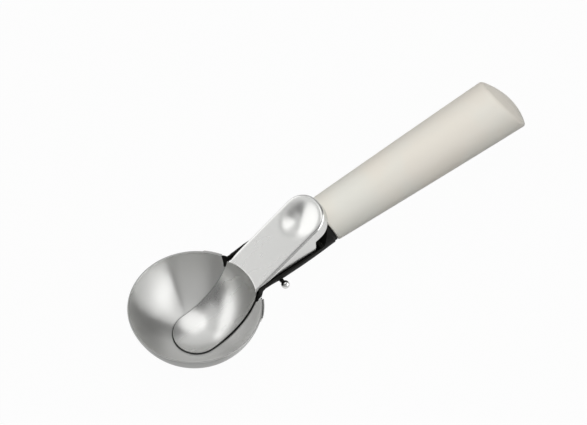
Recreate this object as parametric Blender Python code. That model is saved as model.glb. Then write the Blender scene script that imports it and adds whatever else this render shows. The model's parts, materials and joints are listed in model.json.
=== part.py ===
"""Ice cream scoop with a thumb lever: a pressed bowl on a black trough-shaped neck, a pale moulded handle, and
a lever whose front is a tongue that lies in the bowl and lifts the ball out when the thumb presses its back.

Metres, +Z up, the handle along +X, the ground under the bowl at Z = 0. The object is even about Y = 0, except for the
pivot pin, whose round head stands out on the -Y side. Inside this script a place is first given in the scoop's own
frame, whose origin is the centre of the bowl's rim, and the empty "scoop" carries that frame to where it stands.
"""

import math

import bmesh
import bpy
from mathutils import Matrix, Vector

# Clearances
SEAT_GAP = 0.0003          # between pieces that touch on the real scoop
HOLE_GAP = 0.0003          # round a pin, rod or screw in its hole

# Bowl
BOWL_RADIUS = 0.0300       # outside of the rim
BOWL_DEPTH = 0.0240        # from the rim plane to the outside of the bottom
BOWL_WALL = 0.0008
RIM_ROUND = 0.00025
NOTCH_DEPTH = 0.0050       # the gap in the rim that the lever passes through
NOTCH_HALF_WIDTH = 0.0143  # at the rim
NOTCH_LOW_HALF_WIDTH = 0.0124
NOTCH_CORNER = 0.0008

# Saddle, the strap under the rim that carries the bowl
SADDLE_THICK = 0.0005
SADDLE_SPREAD = math.radians(48)   # to each side of the handle's direction
SADDLE_TOP = 0.0004        # its upper edge lies this far below the rim
SADDLE_CENTRE_LOW = 0.0130
SADDLE_TIP_LOW = 0.0052
SADDLE_PAD_TOP = 0.0056    # upper edge below the notch

# Screws that hold bowl and saddle to the neck, under the tongue
SCREW_RADIUS = 0.0010
SCREW_HEAD_RADIUS = 0.0018
SCREW_LENGTH = 0.0045
SCREW_SPREAD = 0.0030      # to each side of the middle
SCREW_BRIDGE = 0.0008      # metal left between the notch and the holes for the screws' heads

# Handle
HANDLE_AXIS_Z = 0.0024     # above the rim plane
HANDLE_LENGTH = 0.0999     # along its axis, between the edges of its two ends
HANDLE_FRONT_RADIUS = 0.0108
HANDLE_END_RADIUS = 0.01345
HANDLE_SWELL = 1.15        # 1 is a straight taper, more swells it
HANDLE_FRONT_SLANT = 0.29  # how far the front face leans towards the bowl per unit of height
HANDLE_END_SLANT = 0.47
HANDLE_FRONT_FILLET = 0.0008
HANDLE_END_FILLET = 0.0020
HANDLE_END_DOME = 0.0036   # how far its end bulges between its edge and its middle
END_FLAT_RADIUS = 0.0030   # the flat middle of that dome, on the plug
END_BORE_RADIUS = 0.0080
END_BORE_DEPTH = 0.0190
PLUG_LENGTH = 0.0090

# Tang rod, washer and nut that hold the handle on the neck
ROD_RADIUS = 0.0025
ROD_GRIP = 0.0110          # length held in the neck's spigot
ROD_PAST_NUT = 0.0015
WASHER_RADIUS = 0.0072
WASHER_THICK = 0.0012
NUT_ACROSS_FLATS = 0.0080
NUT_HEIGHT = 0.0040

# Neck
NECK_LENGTH = 0.04085      # from the rim to the handle's front face
NECK_HALF_WIDTH = 0.0121
NECK_DEPTH = 0.0105        # below the handle's axis, at the pivot
NECK_FRONT_DEPTH = 0.0086
NECK_REAR_RADIUS = 0.0108
NECK_GROOVE_RADIUS = 0.0103
NECK_GROOVE_LENGTH = 0.0010
NECK_DIP = 0.0008          # how far the trough's edge dips at the rim, below the handle's axis
NECK_DIP_LENGTH = 0.0060   # behind the rim
NECK_LEDGE_DROP = 0.0034   # the ledge inside the trough, below the handle's axis
NECK_LIP_DROP = 0.0006     # how much lower the trough's front lip is, under the lever's bend
NECK_LIP_SETBACK = 0.0010  # where the lip starts, before the rim
SPIGOT_RADIUS = 0.0076
SPIGOT_LENGTH = 0.0150
SHOULDER_LENGTH = 0.0075   # from the handle's front face to where the trough's edge starts to climb
SHOULDER_HEIGHT = 0.0092
SHOULDER_RUN = 0.0052
TROUGH_REAR_WALL = 0.0018
SILL_LENGTH = 0.0028       # solid front of the neck, behind the bowl
WELL_HALF_WIDTH = 0.0063
WELL_LENGTH = 0.0215
WELL_FLOOR = 0.0017        # thickness of the neck under the well
WELL_CHAMFER = 0.0016
HEEL_HALF_WIDTH = 0.0052
HEEL_DROP = 0.0122         # its underside, below the rim plane
HEEL_LENGTH = 0.0035       # level part, behind the rim
HEEL_RUN = 0.0095

# Lever: thumb end, arm, flanges and tongue, one pressing
LEVER_THICK = 0.0008
LEVER_HALF_WIDTH = 0.01075
LEVER_SIDE_GAP = 0.0003    # between its flanges and the trough's walls
FOLD_RADIUS = 0.0014
ARM_SLOPE = math.radians(25.65)
ARM_LENGTH = 0.0339        # from the bend to the middle of the thumb end
BEND_HEIGHT = 0.0011       # top of the bend above the rim plane
BEND_SOFTNESS = 0.0018
THUMB_SKIRT = 0.0065       # depth of the skirt at the sides of the thumb end, square to the arm
TIP_SKIRT = 0.0030         # and at its tip
THUMB_FULLNESS = 0.05      # how much fuller than a half circle the thumb end is at its corners
DISH_DEPTH = 0.0018
DISH_RADIUS = 0.0078
DISH_SETBACK = 0.0010
FLANGE_LOW = 0.0           # lower edge of the flanges near the pivot, above the rim plane
FLANGE_CLIMB = 0.125       # how steeply that edge climbs behind the pivot
EAR_CORNER = 0.0015
EAR_SETBACK = 0.0004       # the flanges' rear edge, behind the middle of the thumb end
EAR_TOP = 0.0068           # where that edge meets the skirt, below the middle of the thumb end
TONGUE_GAP = 0.0004        # between the tongue and the bowl
TONGUE_HALF_WIDTH = 0.01055
TONGUE_TIP_CENTRE = 0.0003 # middle of its round tip, from the middle of the bowl

# Pivot
PIVOT_BEHIND_RIM = 0.0097
PIVOT_DROP = 0.0031        # below the rim plane
PIN_RADIUS = 0.0010
PIN_HEAD_RADIUS = 0.0019
PIN_HEAD_STANDOFF = 0.0014
PIN_CAP_RADIUS = 0.0020
PIN_CAP_LENGTH = 0.0018
PIN_CAP_WALL = 0.0008
BRACKET_HALF_WIDTH = 0.0050
BRACKET_THICK = 0.0010
BRACKET_LENGTH = 0.0115    # along the arm
BRACKET_START = 0.0050     # from the bend
EAR_RADIUS = 0.0022
WASHER_WIDTH = 0.0006
PIVOT_WASHER_RADIUS = 0.0017
BUSH_RADIUS = 0.0018

# Return spring, a torsion spring round the bush
WIRE_RADIUS = 0.0004
COIL_RADIUS = 0.0025       # to the middle of the wire
COIL_PITCH = 0.0013
COIL_TURNS = 4             # whole turns, and the part turn between the two legs
FLOOR_LEG = 0.0110
ARM_LEG = 0.0088

# Fineness of the meshes
BOWL_SEGMENTS = 56
BOWL_RINGS = 11
GRIP_SEGMENTS = 36
SMALL_SEGMENTS = 20
COIL_POINTS = 10
PLATE_COLUMNS = 6
FOLD_COLUMNS = 3
STRIP_COLUMNS = 2
FAN_ROWS = 7
ARM_ROWS = 7
TONGUE_ROWS = 10
BEND_ROWS = 4

# Places that follow from the sizes above
FRONT_X = BOWL_RADIUS + NECK_LENGTH
PIVOT = Vector((BOWL_RADIUS + PIVOT_BEHIND_RIM, 0, -PIVOT_DROP))
BOWL_BALL = (BOWL_RADIUS ** 2 + BOWL_DEPTH ** 2) / (2 * BOWL_DEPTH)
BOWL_CENTRE = BOWL_BALL - BOWL_DEPTH    # the ball's centre, above the rim plane
SADDLE_OUTSIDE = SEAT_GAP + SADDLE_THICK    # of the saddle's outer face, from the bowl's
TROUGH_HALF_WIDTH = LEVER_HALF_WIDTH + LEVER_SIDE_GAP
SCREW_DROP = NOTCH_DEPTH + SCREW_BRIDGE + SCREW_HEAD_RADIUS + HOLE_GAP    # below the rim plane, inside the bowl

for old in list(bpy.data.objects):
    bpy.data.objects.remove(old, do_unlink=True)


def finish(name, colour, roughness, metallic):
    """A plain material with the piece's colour."""
    material = bpy.data.materials.new(name)
    material.use_nodes = True
    shader = material.node_tree.nodes["Principled BSDF"]
    shader.inputs["Base Color"].default_value = (*colour, 1)
    shader.inputs["Roughness"].default_value = roughness
    shader.inputs["Metallic"].default_value = metallic
    return material


def empty(name, place, parent=None):
    """An empty that carries pieces."""
    holder = bpy.data.objects.new(name, None)
    holder.empty_display_size = 0.01
    holder.location = place
    holder.parent = parent
    bpy.context.scene.collection.objects.link(holder)
    return holder


def piece(name, bm, parent, material=None, origin=(0, 0, 0), sharp=math.radians(35)):
    """Turns a bmesh drawn in the scoop's frame into an object with its own origin under its parent."""
    bmesh.ops.remove_doubles(bm, verts=bm.verts, dist=1e-7)
    bmesh.ops.recalc_face_normals(bm, faces=bm.faces)
    bmesh.ops.translate(bm, verts=bm.verts, vec=-Vector(origin))
    mesh = bpy.data.meshes.new(name)
    bm.to_mesh(mesh)
    bm.free()
    mesh.shade_smooth()
    mesh.set_sharp_from_angle(angle=sharp)
    thing = bpy.data.objects.new(name, mesh)
    thing.location = Vector(origin) - (parent_place(parent))
    thing.parent = parent
    if material:
        mesh.materials.append(material)
    bpy.context.scene.collection.objects.link(thing)
    return thing


def parent_place(parent):
    """Where an empty stands in the scoop's frame."""
    return Vector((0, 0, 0)) if parent.parent is None else parent.location.copy()


def cutter(name, bm):
    """A piece that only cuts or joins others, in triangles, because a bent face would cut unevenly."""
    bmesh.ops.triangulate(bm, faces=bm.faces)
    thing = piece(name, bm, scoop)
    thing.hide_render = True
    thing.display_type = "WIRE"
    return thing


def combine(thing, other, operation):
    """Joins, cuts or trims a piece with a cutter."""
    step = thing.modifiers.new(f"{operation.lower()} {other.name}", "BOOLEAN")
    step.operation = operation
    step.object = other
    step.solver = "EXACT"


def loft(rings, closed=False):
    """Skins a row of rings with the same number of points. A closed loft joins its last ring to its first."""
    bm = bmesh.new()
    made = [[bm.verts.new(p) for p in ring] for ring in rings]
    pairs = list(zip(made, made[1:] + made[:1] if closed else made[1:]))
    for a, b in pairs:
        for i in range(len(a)):
            j = (i + 1) % len(a)
            bm.faces.new((a[i], a[j], b[j], b[i]))
    if not closed:
        bm.faces.new(made[0])
        bm.faces.new(made[-1])
    return bm


def prism(outline, lay, low, high):
    """Extrudes a flat outline. lay turns (u, v, depth) into a place."""
    return loft([[Vector(lay(u, v, depth)) for u, v in outline] for depth in (low, high)])


def along_x(u, v, depth):
    return (depth, u, v)


def along_y(u, v, depth):
    return (u, depth, v)


def turned(profile, segments, place, closed=False):
    """Turns a profile of (distance along the axis, radius). place carries (along, right, up) into the frame."""
    rings = []
    for along, radius in profile:
        angles = [2 * math.pi * i / segments for i in range(segments)]
        rings.append([place @ Vector((along, radius * math.cos(a), radius * math.sin(a))) for a in angles])
    return loft(rings, closed)


def arc(centre, radius, start, end, steps):
    """Points along an arc in a plane."""
    angles = [start + (end - start) * i / steps for i in range(steps + 1)]
    return [(centre[0] + radius * math.cos(a), centre[1] + radius * math.sin(a)) for a in angles]


def bowl_radius_at(offset, z):
    """Radius, at a height, of a surface that lies an offset outside the bowl's ball."""
    return math.sqrt(max(0, (BOWL_BALL + offset) ** 2 - (BOWL_CENTRE - z) ** 2))


def bowl_profile(offset, rings, top=0.0):
    """(height, radius) from the bottom of the offset surface up to a height, without the bottom's point."""
    ball = BOWL_BALL + offset
    last = math.acos((BOWL_CENTRE - top) / ball)
    angles = [last * i / rings for i in range(1, rings + 1)]
    return [(BOWL_CENTRE - ball * math.cos(a), ball * math.sin(a)) for a in angles]


UPRIGHT = Matrix(((0, 1, 0), (0, 0, 1), (1, 0, 0)))      # a turned axis along Z
ACROSS = Matrix(((0, 1, 0), (1, 0, 0), (0, 0, -1)))      # a turned axis along Y


def moved(matrix, place):
    return Matrix.Translation(place) @ matrix.to_4x4()


def make_bowl():
    """The pressed cup: its bottom is closed by a small flat facet inside and outside."""
    outer = bowl_profile(0, BOWL_RINGS, -RIM_ROUND)
    inner = bowl_profile(-BOWL_WALL, BOWL_RINGS, -RIM_ROUND)
    lip = [(0, bowl_radius_at(0, 0) - BOWL_WALL * 0.3), (0, bowl_radius_at(-BOWL_WALL, 0) + BOWL_WALL * 0.3)]
    poles = [(-BOWL_DEPTH, 0.0006)], [(-BOWL_DEPTH + BOWL_WALL, 0.0006)]
    profile = poles[0] + outer + lip + inner[::-1] + poles[1]
    bowl = piece("bowl", turned(profile, BOWL_SEGMENTS, moved(UPRIGHT, (0, 0, 0))), scoop, steel)
    notch = prism(both_sides(notch_side(0, BOWL_WALL)), along_x, BOWL_RADIUS * 0.4, BOWL_RADIUS * 1.2)
    combine(bowl, cutter("notch_cutter", notch), "DIFFERENCE")
    return bowl


def notch_side(inset, top):
    """One side of the notch, or of something that fits in it, as (y, z) from its bottom up to a top."""
    low = NOTCH_LOW_HALF_WIDTH - inset
    bottom = inset - NOTCH_DEPTH
    lean = (NOTCH_HALF_WIDTH - NOTCH_LOW_HALF_WIDTH) / (NOTCH_DEPTH - NOTCH_CORNER)
    side = [(low - NOTCH_CORNER, bottom), (low, bottom + NOTCH_CORNER)]
    side += [(low + lean * (top - bottom - NOTCH_CORNER), top)]
    return side


def both_sides(half):
    """An outline from one half of it."""
    return half + [(-u, v) for u, v in reversed(half)]


def make_saddle():
    """The strap: a curved band that hugs the bowl under its rim, with a lower pad under the notch."""
    notch = math.asin((NOTCH_HALF_WIDTH + SEAT_GAP) / BOWL_RADIUS)
    step = math.radians(0.6)
    half = [notch * i / 6 for i in range(7)] + [notch + step]
    half += [notch + step + (SADDLE_SPREAD - notch - step) * i / 6 for i in range(1, 7)]
    angles = [-a for a in reversed(half[1:])] + half
    rows = 5
    grid = []
    for angle in angles:
        share = abs(angle) / SADDLE_SPREAD
        top = -SADDLE_PAD_TOP if abs(angle) <= notch else -SADDLE_TOP
        low = -SADDLE_CENTRE_LOW + (SADDLE_CENTRE_LOW - SADDLE_TIP_LOW) * share ** 2
        if share > 0.99:
            top, low = top - 0.0008, low + 0.0008
        column = []
        for i in range(rows + 1):
            z = low + (top - low) * i / rows
            r = bowl_radius_at(SEAT_GAP, z)
            column.append(Vector((r * math.cos(angle), r * math.sin(angle), z)))
        grid.append(column)
    saddle = piece("bowl_saddle", sheet(grid), scoop, steel)
    thicken(saddle, SADDLE_THICK, 1)
    return saddle


def sheet(grid):
    """An open surface through a grid of points. Its faces look away from the bowl."""
    bm = bmesh.new()
    verts = [[bm.verts.new(p) for p in row] for row in grid]
    for a, b in zip(verts, verts[1:]):
        for i in range(len(a) - 1):
            bm.faces.new((a[i], b[i], b[i + 1], a[i + 1]))
    return bm


def thicken(thing, thickness, side):
    """Gives a sheet its thickness: side 1 builds outwards, -1 inwards."""
    step = thing.modifiers.new("thickness", "SOLIDIFY")
    step.thickness = thickness
    step.offset = side
    step.use_even_offset = True


def screw_frame(side):
    """Where a bowl screw's head sits, with its axis square to the bowl's wall."""
    radius = bowl_radius_at(-BOWL_WALL, -SCREW_DROP)
    y = side * SCREW_SPREAD
    x = math.sqrt(radius ** 2 - y ** 2)
    slope = math.atan2(BOWL_CENTRE + SCREW_DROP, radius)
    axis = Vector((math.cos(slope), 0, -math.sin(slope)))
    up = Vector((math.sin(slope), 0, math.cos(slope)))
    turn = Matrix((axis, Vector((0, 1, 0)), up)).transposed()
    return moved(turn, (x, y, -SCREW_DROP))


def make_screws(cut_pieces):
    """Two countersunk screws, driven from inside the bowl, through the saddle and into the neck's heel."""
    for side, label in ((-1, "left"), (1, "right")):
        place = screw_frame(side)
        sunk = SEAT_GAP
        cone = SCREW_HEAD_RADIUS - SCREW_RADIUS
        profile = [(sunk, SCREW_HEAD_RADIUS), (sunk + 0.0003, SCREW_HEAD_RADIUS)]
        profile += [(sunk + 0.0003 + cone, SCREW_RADIUS), (sunk + SCREW_LENGTH, SCREW_RADIUS)]
        piece(f"bowl_screw_{label}", turned(profile, SMALL_SEGMENTS, place), scoop, steel)
        head = [(-0.002, SCREW_HEAD_RADIUS + HOLE_GAP), (sunk + 0.0003 + HOLE_GAP, SCREW_HEAD_RADIUS + HOLE_GAP)]
        shank = [(sunk + 0.0003 + HOLE_GAP + cone, SCREW_RADIUS + HOLE_GAP)]
        shank += [(sunk + SCREW_LENGTH + HOLE_GAP, SCREW_RADIUS + HOLE_GAP)]
        hole = cutter(f"screw_hole_cutter_{label}", turned(head + shank, SMALL_SEGMENTS, place))
        for thing in cut_pieces:
            combine(thing, hole, "DIFFERENCE")


def grip_radius(share):
    """Radius of the handle at a share of its length, swelling towards its end."""
    return HANDLE_FRONT_RADIUS + (HANDLE_END_RADIUS - HANDLE_FRONT_RADIUS) * (1 - (1 - share) ** HANDLE_SWELL)


def end_dome(radius):
    """How far the handle's domed end stands out at a distance from its axis."""
    if radius < END_FLAT_RADIUS:
        return HANDLE_END_DOME
    span = HANDLE_END_RADIUS ** 2 - END_FLAT_RADIUS ** 2
    return HANDLE_END_DOME * (HANDLE_END_RADIUS ** 2 - radius ** 2) / span


def domed(outer, inner, steps):
    """Rings across the domed end, from one radius to another."""
    radii = [outer + (inner - outer) * i / steps for i in range(steps + 1)]
    return [(HANDLE_LENGTH + end_dome(r), r, HANDLE_END_SLANT) for r in radii]


def slanted_turned(profile, closed=False):
    """Turns (along, radius, slant) round the handle's axis. A slanted ring leans towards the bowl at its top."""
    rings = []
    for along, radius, slant in profile:
        ring = []
        for i in range(GRIP_SEGMENTS):
            a = 2 * math.pi * i / GRIP_SEGMENTS
            up = radius * math.sin(a)
            ring.append(Vector((FRONT_X + along - slant * up, radius * math.cos(a), HANDLE_AXIS_Z + up)))
        rings.append(ring)
    return loft(rings, closed)


def make_handle():
    """The moulded grip, bored right through, with a socket for the neck's spigot and a deeper one for the nut."""
    front, end = HANDLE_FRONT_FILLET, HANDLE_END_FILLET
    lean = HANDLE_END_SLANT - HANDLE_FRONT_SLANT
    profile = []
    for along, out in arc((front, HANDLE_FRONT_RADIUS - front), front, math.pi, math.pi / 2, 3):
        profile.append((along, out, HANDLE_FRONT_SLANT))
    bands = 12
    for i in range(1, bands):
        share = i / bands
        profile.append((HANDLE_LENGTH * share, grip_radius(share), HANDLE_FRONT_SLANT + lean * share))
    turn = math.atan(2 * HANDLE_END_DOME / HANDLE_END_RADIUS)
    edge = HANDLE_END_RADIUS - end * (1 - math.sin(turn))
    middle = HANDLE_LENGTH + end_dome(edge) - end * math.cos(turn)
    for along, out in arc((middle, HANDLE_END_RADIUS - end), end, math.pi / 2, turn, 3)[:-1]:
        profile.append((along, out, HANDLE_END_SLANT))
    profile += domed(edge, END_BORE_RADIUS, 3)
    floor = HANDLE_LENGTH - END_BORE_DEPTH
    socket = SPIGOT_RADIUS + SEAT_GAP
    bore = ROD_RADIUS + HOLE_GAP
    profile += [(floor, END_BORE_RADIUS, 0), (floor, bore, 0)]
    profile += [(SPIGOT_LENGTH + SEAT_GAP, bore, 0), (SPIGOT_LENGTH + SEAT_GAP, socket, 0)]
    profile += [(0, socket, HANDLE_FRONT_SLANT)]
    return piece("handle", slanted_turned(profile, closed=True), scoop, cream)


def make_end_plug():
    """The plug that closes the nut's bore, flush with the handle's domed end and flat in its middle."""
    radius = END_BORE_RADIUS - SEAT_GAP
    start = HANDLE_LENGTH - PLUG_LENGTH
    profile = [(start, radius - 0.0006, 0), (start + 0.0006, radius, 0)]
    profile += domed(radius, END_FLAT_RADIUS, 2)
    return piece("end_plug", slanted_turned(profile), scoop, cream)


def make_tang():
    """Rod, washer and nut: the rod is screwed into the neck, and the nut pulls the handle against it."""
    at = moved(Matrix.Identity(3), (FRONT_X, 0, HANDLE_AXIS_Z))
    floor = HANDLE_LENGTH - END_BORE_DEPTH
    washer = floor + SEAT_GAP
    nut = washer + WASHER_THICK + SEAT_GAP
    end = nut + NUT_HEIGHT + ROD_PAST_NUT
    start = SPIGOT_LENGTH - ROD_GRIP
    chamfer = 0.0004
    rod = [(start, ROD_RADIUS), (end - chamfer, ROD_RADIUS), (end, ROD_RADIUS - chamfer)]
    piece("tang_rod", turned(rod, SMALL_SEGMENTS, at), scoop, steel)
    hole = ROD_RADIUS + HOLE_GAP
    ring = [(washer, hole), (washer, WASHER_RADIUS), (washer + WASHER_THICK, WASHER_RADIUS)]
    ring += [(washer + WASHER_THICK, hole)]
    piece("tang_washer", turned(ring, SMALL_SEGMENTS + 8, at, closed=True), scoop, steel)
    corner = NUT_ACROSS_FLATS / math.sqrt(3)
    body = piece("tang_nut", turned([(nut, corner), (nut + NUT_HEIGHT, corner)], 6, at), scoop, steel)
    bore = turned([(nut - 0.001, hole), (nut + NUT_HEIGHT + 0.001, hole)], SMALL_SEGMENTS, at)
    combine(body, cutter("nut_bore_cutter", bore), "DIFFERENCE")


def neck_ring(x, half_width, depth, height, slant):
    """One cross section of the neck, round about the handle's axis."""
    ring = []
    for i in range(GRIP_SEGMENTS):
        a = 2 * math.pi * i / GRIP_SEGMENTS
        up = math.sin(a) * (height if math.sin(a) > 0 else depth)
        ring.append(Vector((x - slant * up, half_width * math.cos(a), HANDLE_AXIS_Z + up)))
    return ring


def make_neck():
    """The black trough: a round bar about the handle's axis, cut open on top, hollowed, and fitted to the bowl."""
    rear, groove = NECK_REAR_RADIUS, NECK_GROOVE_RADIUS
    slant = HANDLE_FRONT_SLANT
    face = FRONT_X - SEAT_GAP
    half = NECK_HALF_WIDTH
    straight = PIVOT.x + PIVOT_BEHIND_RIM * 0.5
    taper_end = FRONT_X - SHOULDER_LENGTH * 0.4
    rings = [neck_ring(BOWL_RADIUS * 0.8, half, NECK_FRONT_DEPTH, half, 0)]
    rings += [neck_ring(BOWL_RADIUS + PIVOT_BEHIND_RIM * 0.4, half, NECK_FRONT_DEPTH, half, 0)]
    rings += [neck_ring(PIVOT.x, half, NECK_DEPTH, half, 0)]
    for share in (0, 0.25, 0.5, 0.75, 1):
        x = straight + (taper_end - straight) * share
        width = half + (rear - half) * share ** 2
        depth = NECK_DEPTH + (rear - NECK_DEPTH) * share ** 2
        rings.append(neck_ring(x, width, depth, width, slant * share ** 2))
    rings.append(neck_ring(face - NECK_GROOVE_LENGTH * 1.6, rear, rear, rear, slant))
    rings.append(neck_ring(face - NECK_GROOVE_LENGTH, groove, groove, groove, slant))
    rings.append(neck_ring(face, groove, groove, groove, slant))
    spigot = SPIGOT_RADIUS
    rings.append(neck_ring(face, spigot, spigot, spigot, slant))
    rings.append(neck_ring(FRONT_X + SPIGOT_LENGTH, spigot, spigot, spigot, 0))
    body = loft(rings)
    bmesh.ops.triangulate(body, faces=body.faces)
    neck = piece("neck", body, scoop, black)

    heel_front = bowl_radius_at(0, -HEEL_DROP) * 0.9
    heel_back = BOWL_RADIUS + HEEL_LENGTH
    buried = HANDLE_AXIS_Z - NECK_DEPTH * 0.75
    heel = [(heel_front, -HEEL_DROP), (heel_back, -HEEL_DROP)]
    heel += [(heel_back + HEEL_RUN, HANDLE_AXIS_Z - NECK_DEPTH + 0.0004), (heel_back + HEEL_RUN, buried)]
    heel += [(heel_front, buried)]
    combine(neck, cutter("heel_joiner", prism(heel, along_y, -HEEL_HALF_WIDTH, HEEL_HALF_WIDTH)), "UNION")

    above = HANDLE_AXIS_Z + NECK_HALF_WIDTH * 2
    clearance = SADDLE_OUTSIDE + SEAT_GAP
    combine(neck, cutter("bowl_cutter", bowl_shape(clearance, above)), "DIFFERENCE")
    shank = NECK_HALF_WIDTH - SEAT_GAP
    wide = notch_side(SEAT_GAP, SEAT_GAP) + [(shank, HANDLE_AXIS_Z)]
    narrow = [(min(u, shank), v) for u, v in wide]
    outside = math.sqrt(BOWL_RADIUS ** 2 - NOTCH_HALF_WIDTH ** 2)
    stages = [(BOWL_RADIUS * 0.5, wide), (outside, wide), (outside + clearance, narrow), (BOWL_RADIUS * 1.2, narrow)]
    inlay = cutter("inlay_joiner", loft([[(x, u, v) for u, v in both_sides(half)] for x, half in stages]))
    combine(inlay, cutter("inlay_trimmer", bowl_shape(clearance + SEAT_GAP, above)), "INTERSECT")
    combine(inlay, cutter("inlay_inside", bowl_shape(-BOWL_WALL, above * 1.1)), "DIFFERENCE")
    combine(neck, inlay, "UNION")

    edge = HANDLE_AXIS_Z
    shoulder = FRONT_X - SHOULDER_LENGTH
    front = BOWL_RADIUS * 0.6
    opening = [(front, edge - NECK_DIP), (BOWL_RADIUS, edge - NECK_DIP), (BOWL_RADIUS + NECK_DIP_LENGTH, edge)]
    opening += [(shoulder, edge), (shoulder + SHOULDER_RUN, HANDLE_AXIS_Z + SHOULDER_HEIGHT)]
    opening += [(shoulder + SHOULDER_RUN, above), (front, above)]
    reach = NOTCH_HALF_WIDTH * 1.3
    combine(neck, cutter("open_top_cutter", prism(opening, along_y, -reach, reach)), "DIFFERENCE")

    ledge = HANDLE_AXIS_Z - NECK_LEDGE_DROP
    trough = [(-TROUGH_HALF_WIDTH, ledge), (TROUGH_HALF_WIDTH, ledge)]
    trough += [(TROUGH_HALF_WIDTH, above), (-TROUGH_HALF_WIDTH, above)]
    hollow = prism(trough, along_x, BOWL_RADIUS * 0.6, shoulder - TROUGH_REAR_WALL)
    combine(neck, cutter("trough_cutter", hollow), "DIFFERENCE")
    lip = [(u, v - NECK_LIP_DROP) for u, v in trough]
    lip = prism(lip, along_x, BOWL_RADIUS * 0.55, BOWL_RADIUS - NECK_LIP_SETBACK)
    combine(neck, cutter("lip_cutter", lip), "DIFFERENCE")

    floor = HANDLE_AXIS_Z - NECK_DEPTH + WELL_FLOOR
    well_front = BOWL_RADIUS + clearance + SILL_LENGTH
    well = [(WELL_HALF_WIDTH, above), (WELL_HALF_WIDTH, floor + WELL_CHAMFER)]
    well += [(WELL_HALF_WIDTH - WELL_CHAMFER, floor)]
    well = prism(both_sides(well), along_x, well_front, well_front + WELL_LENGTH)
    combine(neck, cutter("well_cutter", well), "DIFFERENCE")

    hole = PIN_RADIUS + HOLE_GAP
    reach = NECK_HALF_WIDTH * 1.2
    pin_hole = turned([(-reach, hole), (reach, hole)], SMALL_SEGMENTS, moved(ACROSS, PIVOT))
    combine(neck, cutter("pin_hole_cutter", pin_hole), "DIFFERENCE")

    at = moved(Matrix.Identity(3), (FRONT_X, 0, HANDLE_AXIS_Z))
    bore = [(SPIGOT_LENGTH - ROD_GRIP - SEAT_GAP, ROD_RADIUS + HOLE_GAP), (SPIGOT_LENGTH * 1.1, ROD_RADIUS + HOLE_GAP)]
    combine(neck, cutter("rod_hole_cutter", turned(bore, SMALL_SEGMENTS, at)), "DIFFERENCE")
    return neck


def bowl_shape(offset, top):
    """A solid of the bowl's ball, moved out by an offset, that goes straight up from the rim plane."""
    shape = bowl_profile(offset, BOWL_RINGS)
    shape = [(shape[0][0] - 0.0001, 0.001)] + shape + [(top, shape[-1][1])]
    return turned(shape, BOWL_SEGMENTS, moved(UPRIGHT, (0, 0, 0)))


class LeverShape:
    """The lever's top surface. The tongue follows a ball inside the bowl, the arm is a plane that leaves it at the
    bend, and the thumb end carries a dish. A place is given by how far along the lever it is, and its y."""

    def __init__(self):
        self.ball = BOWL_BALL - BOWL_WALL - TONGUE_GAP - LEVER_THICK
        self.bend_x = math.sqrt(self.ball ** 2 - (BOWL_CENTRE - BEND_HEIGHT) ** 2)
        self.along = Vector((math.cos(ARM_SLOPE), 0, math.sin(ARM_SLOPE)))
        self.up = Vector((-math.sin(ARM_SLOPE), 0, math.cos(ARM_SLOPE)))

    def slice_radius(self, y):
        return math.sqrt(self.ball ** 2 - y ** 2)

    def tongue(self, angle, y):
        """On the tongue, at an angle round the y axis from the bottom of the bowl."""
        radius = self.slice_radius(y)
        return Vector((radius * math.sin(angle), y, BOWL_CENTRE - radius * math.cos(angle)))

    def tongue_angle(self, x, y):
        return math.asin(x / self.slice_radius(y))

    def corner_angle(self, y):
        """Where the tongue's surface meets the arm's plane, beside the middle of the lever."""
        slope = math.tan(ARM_SLOPE)
        drop = (BOWL_CENTRE - BEND_HEIGHT + slope * self.bend_x) * math.cos(ARM_SLOPE)
        return ARM_SLOPE + math.acos(min(1, drop / self.slice_radius(y)))

    def arm(self, distance, y):
        """On the arm, at a distance from the bend, with the thumb's dish pressed into it."""
        place = Vector((self.bend_x, y, BEND_HEIGHT)) + self.along * distance
        away = math.hypot(distance - ARM_LENGTH + DISH_SETBACK, y) / DISH_RADIUS
        depth = DISH_DEPTH * (1 - away ** 2) ** 2 if away < 1 else 0
        return place - self.up * depth

    def arm_start(self, y):
        """The distance at which the arm begins, just past the bend."""
        corner = self.tongue(self.corner_angle(y), y)
        return (corner.x - self.bend_x) / math.cos(ARM_SLOPE) + BEND_SOFTNESS

    def bend(self, share, y):
        """Between the tongue, at share 0, and the arm, at share 1."""
        corner_angle = self.corner_angle(y)
        a = self.tongue(corner_angle - BEND_SOFTNESS / self.ball, y)
        b = self.tongue(corner_angle, y)
        c = self.arm(self.arm_start(y), y)
        return a * (1 - share) ** 2 + b * (2 * share * (1 - share)) + c * share ** 2


def flange_edge(x):
    """Height of the flanges' lower edge."""
    return FLANGE_LOW + FLANGE_CLIMB * max(0, x - PIVOT.x)


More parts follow.
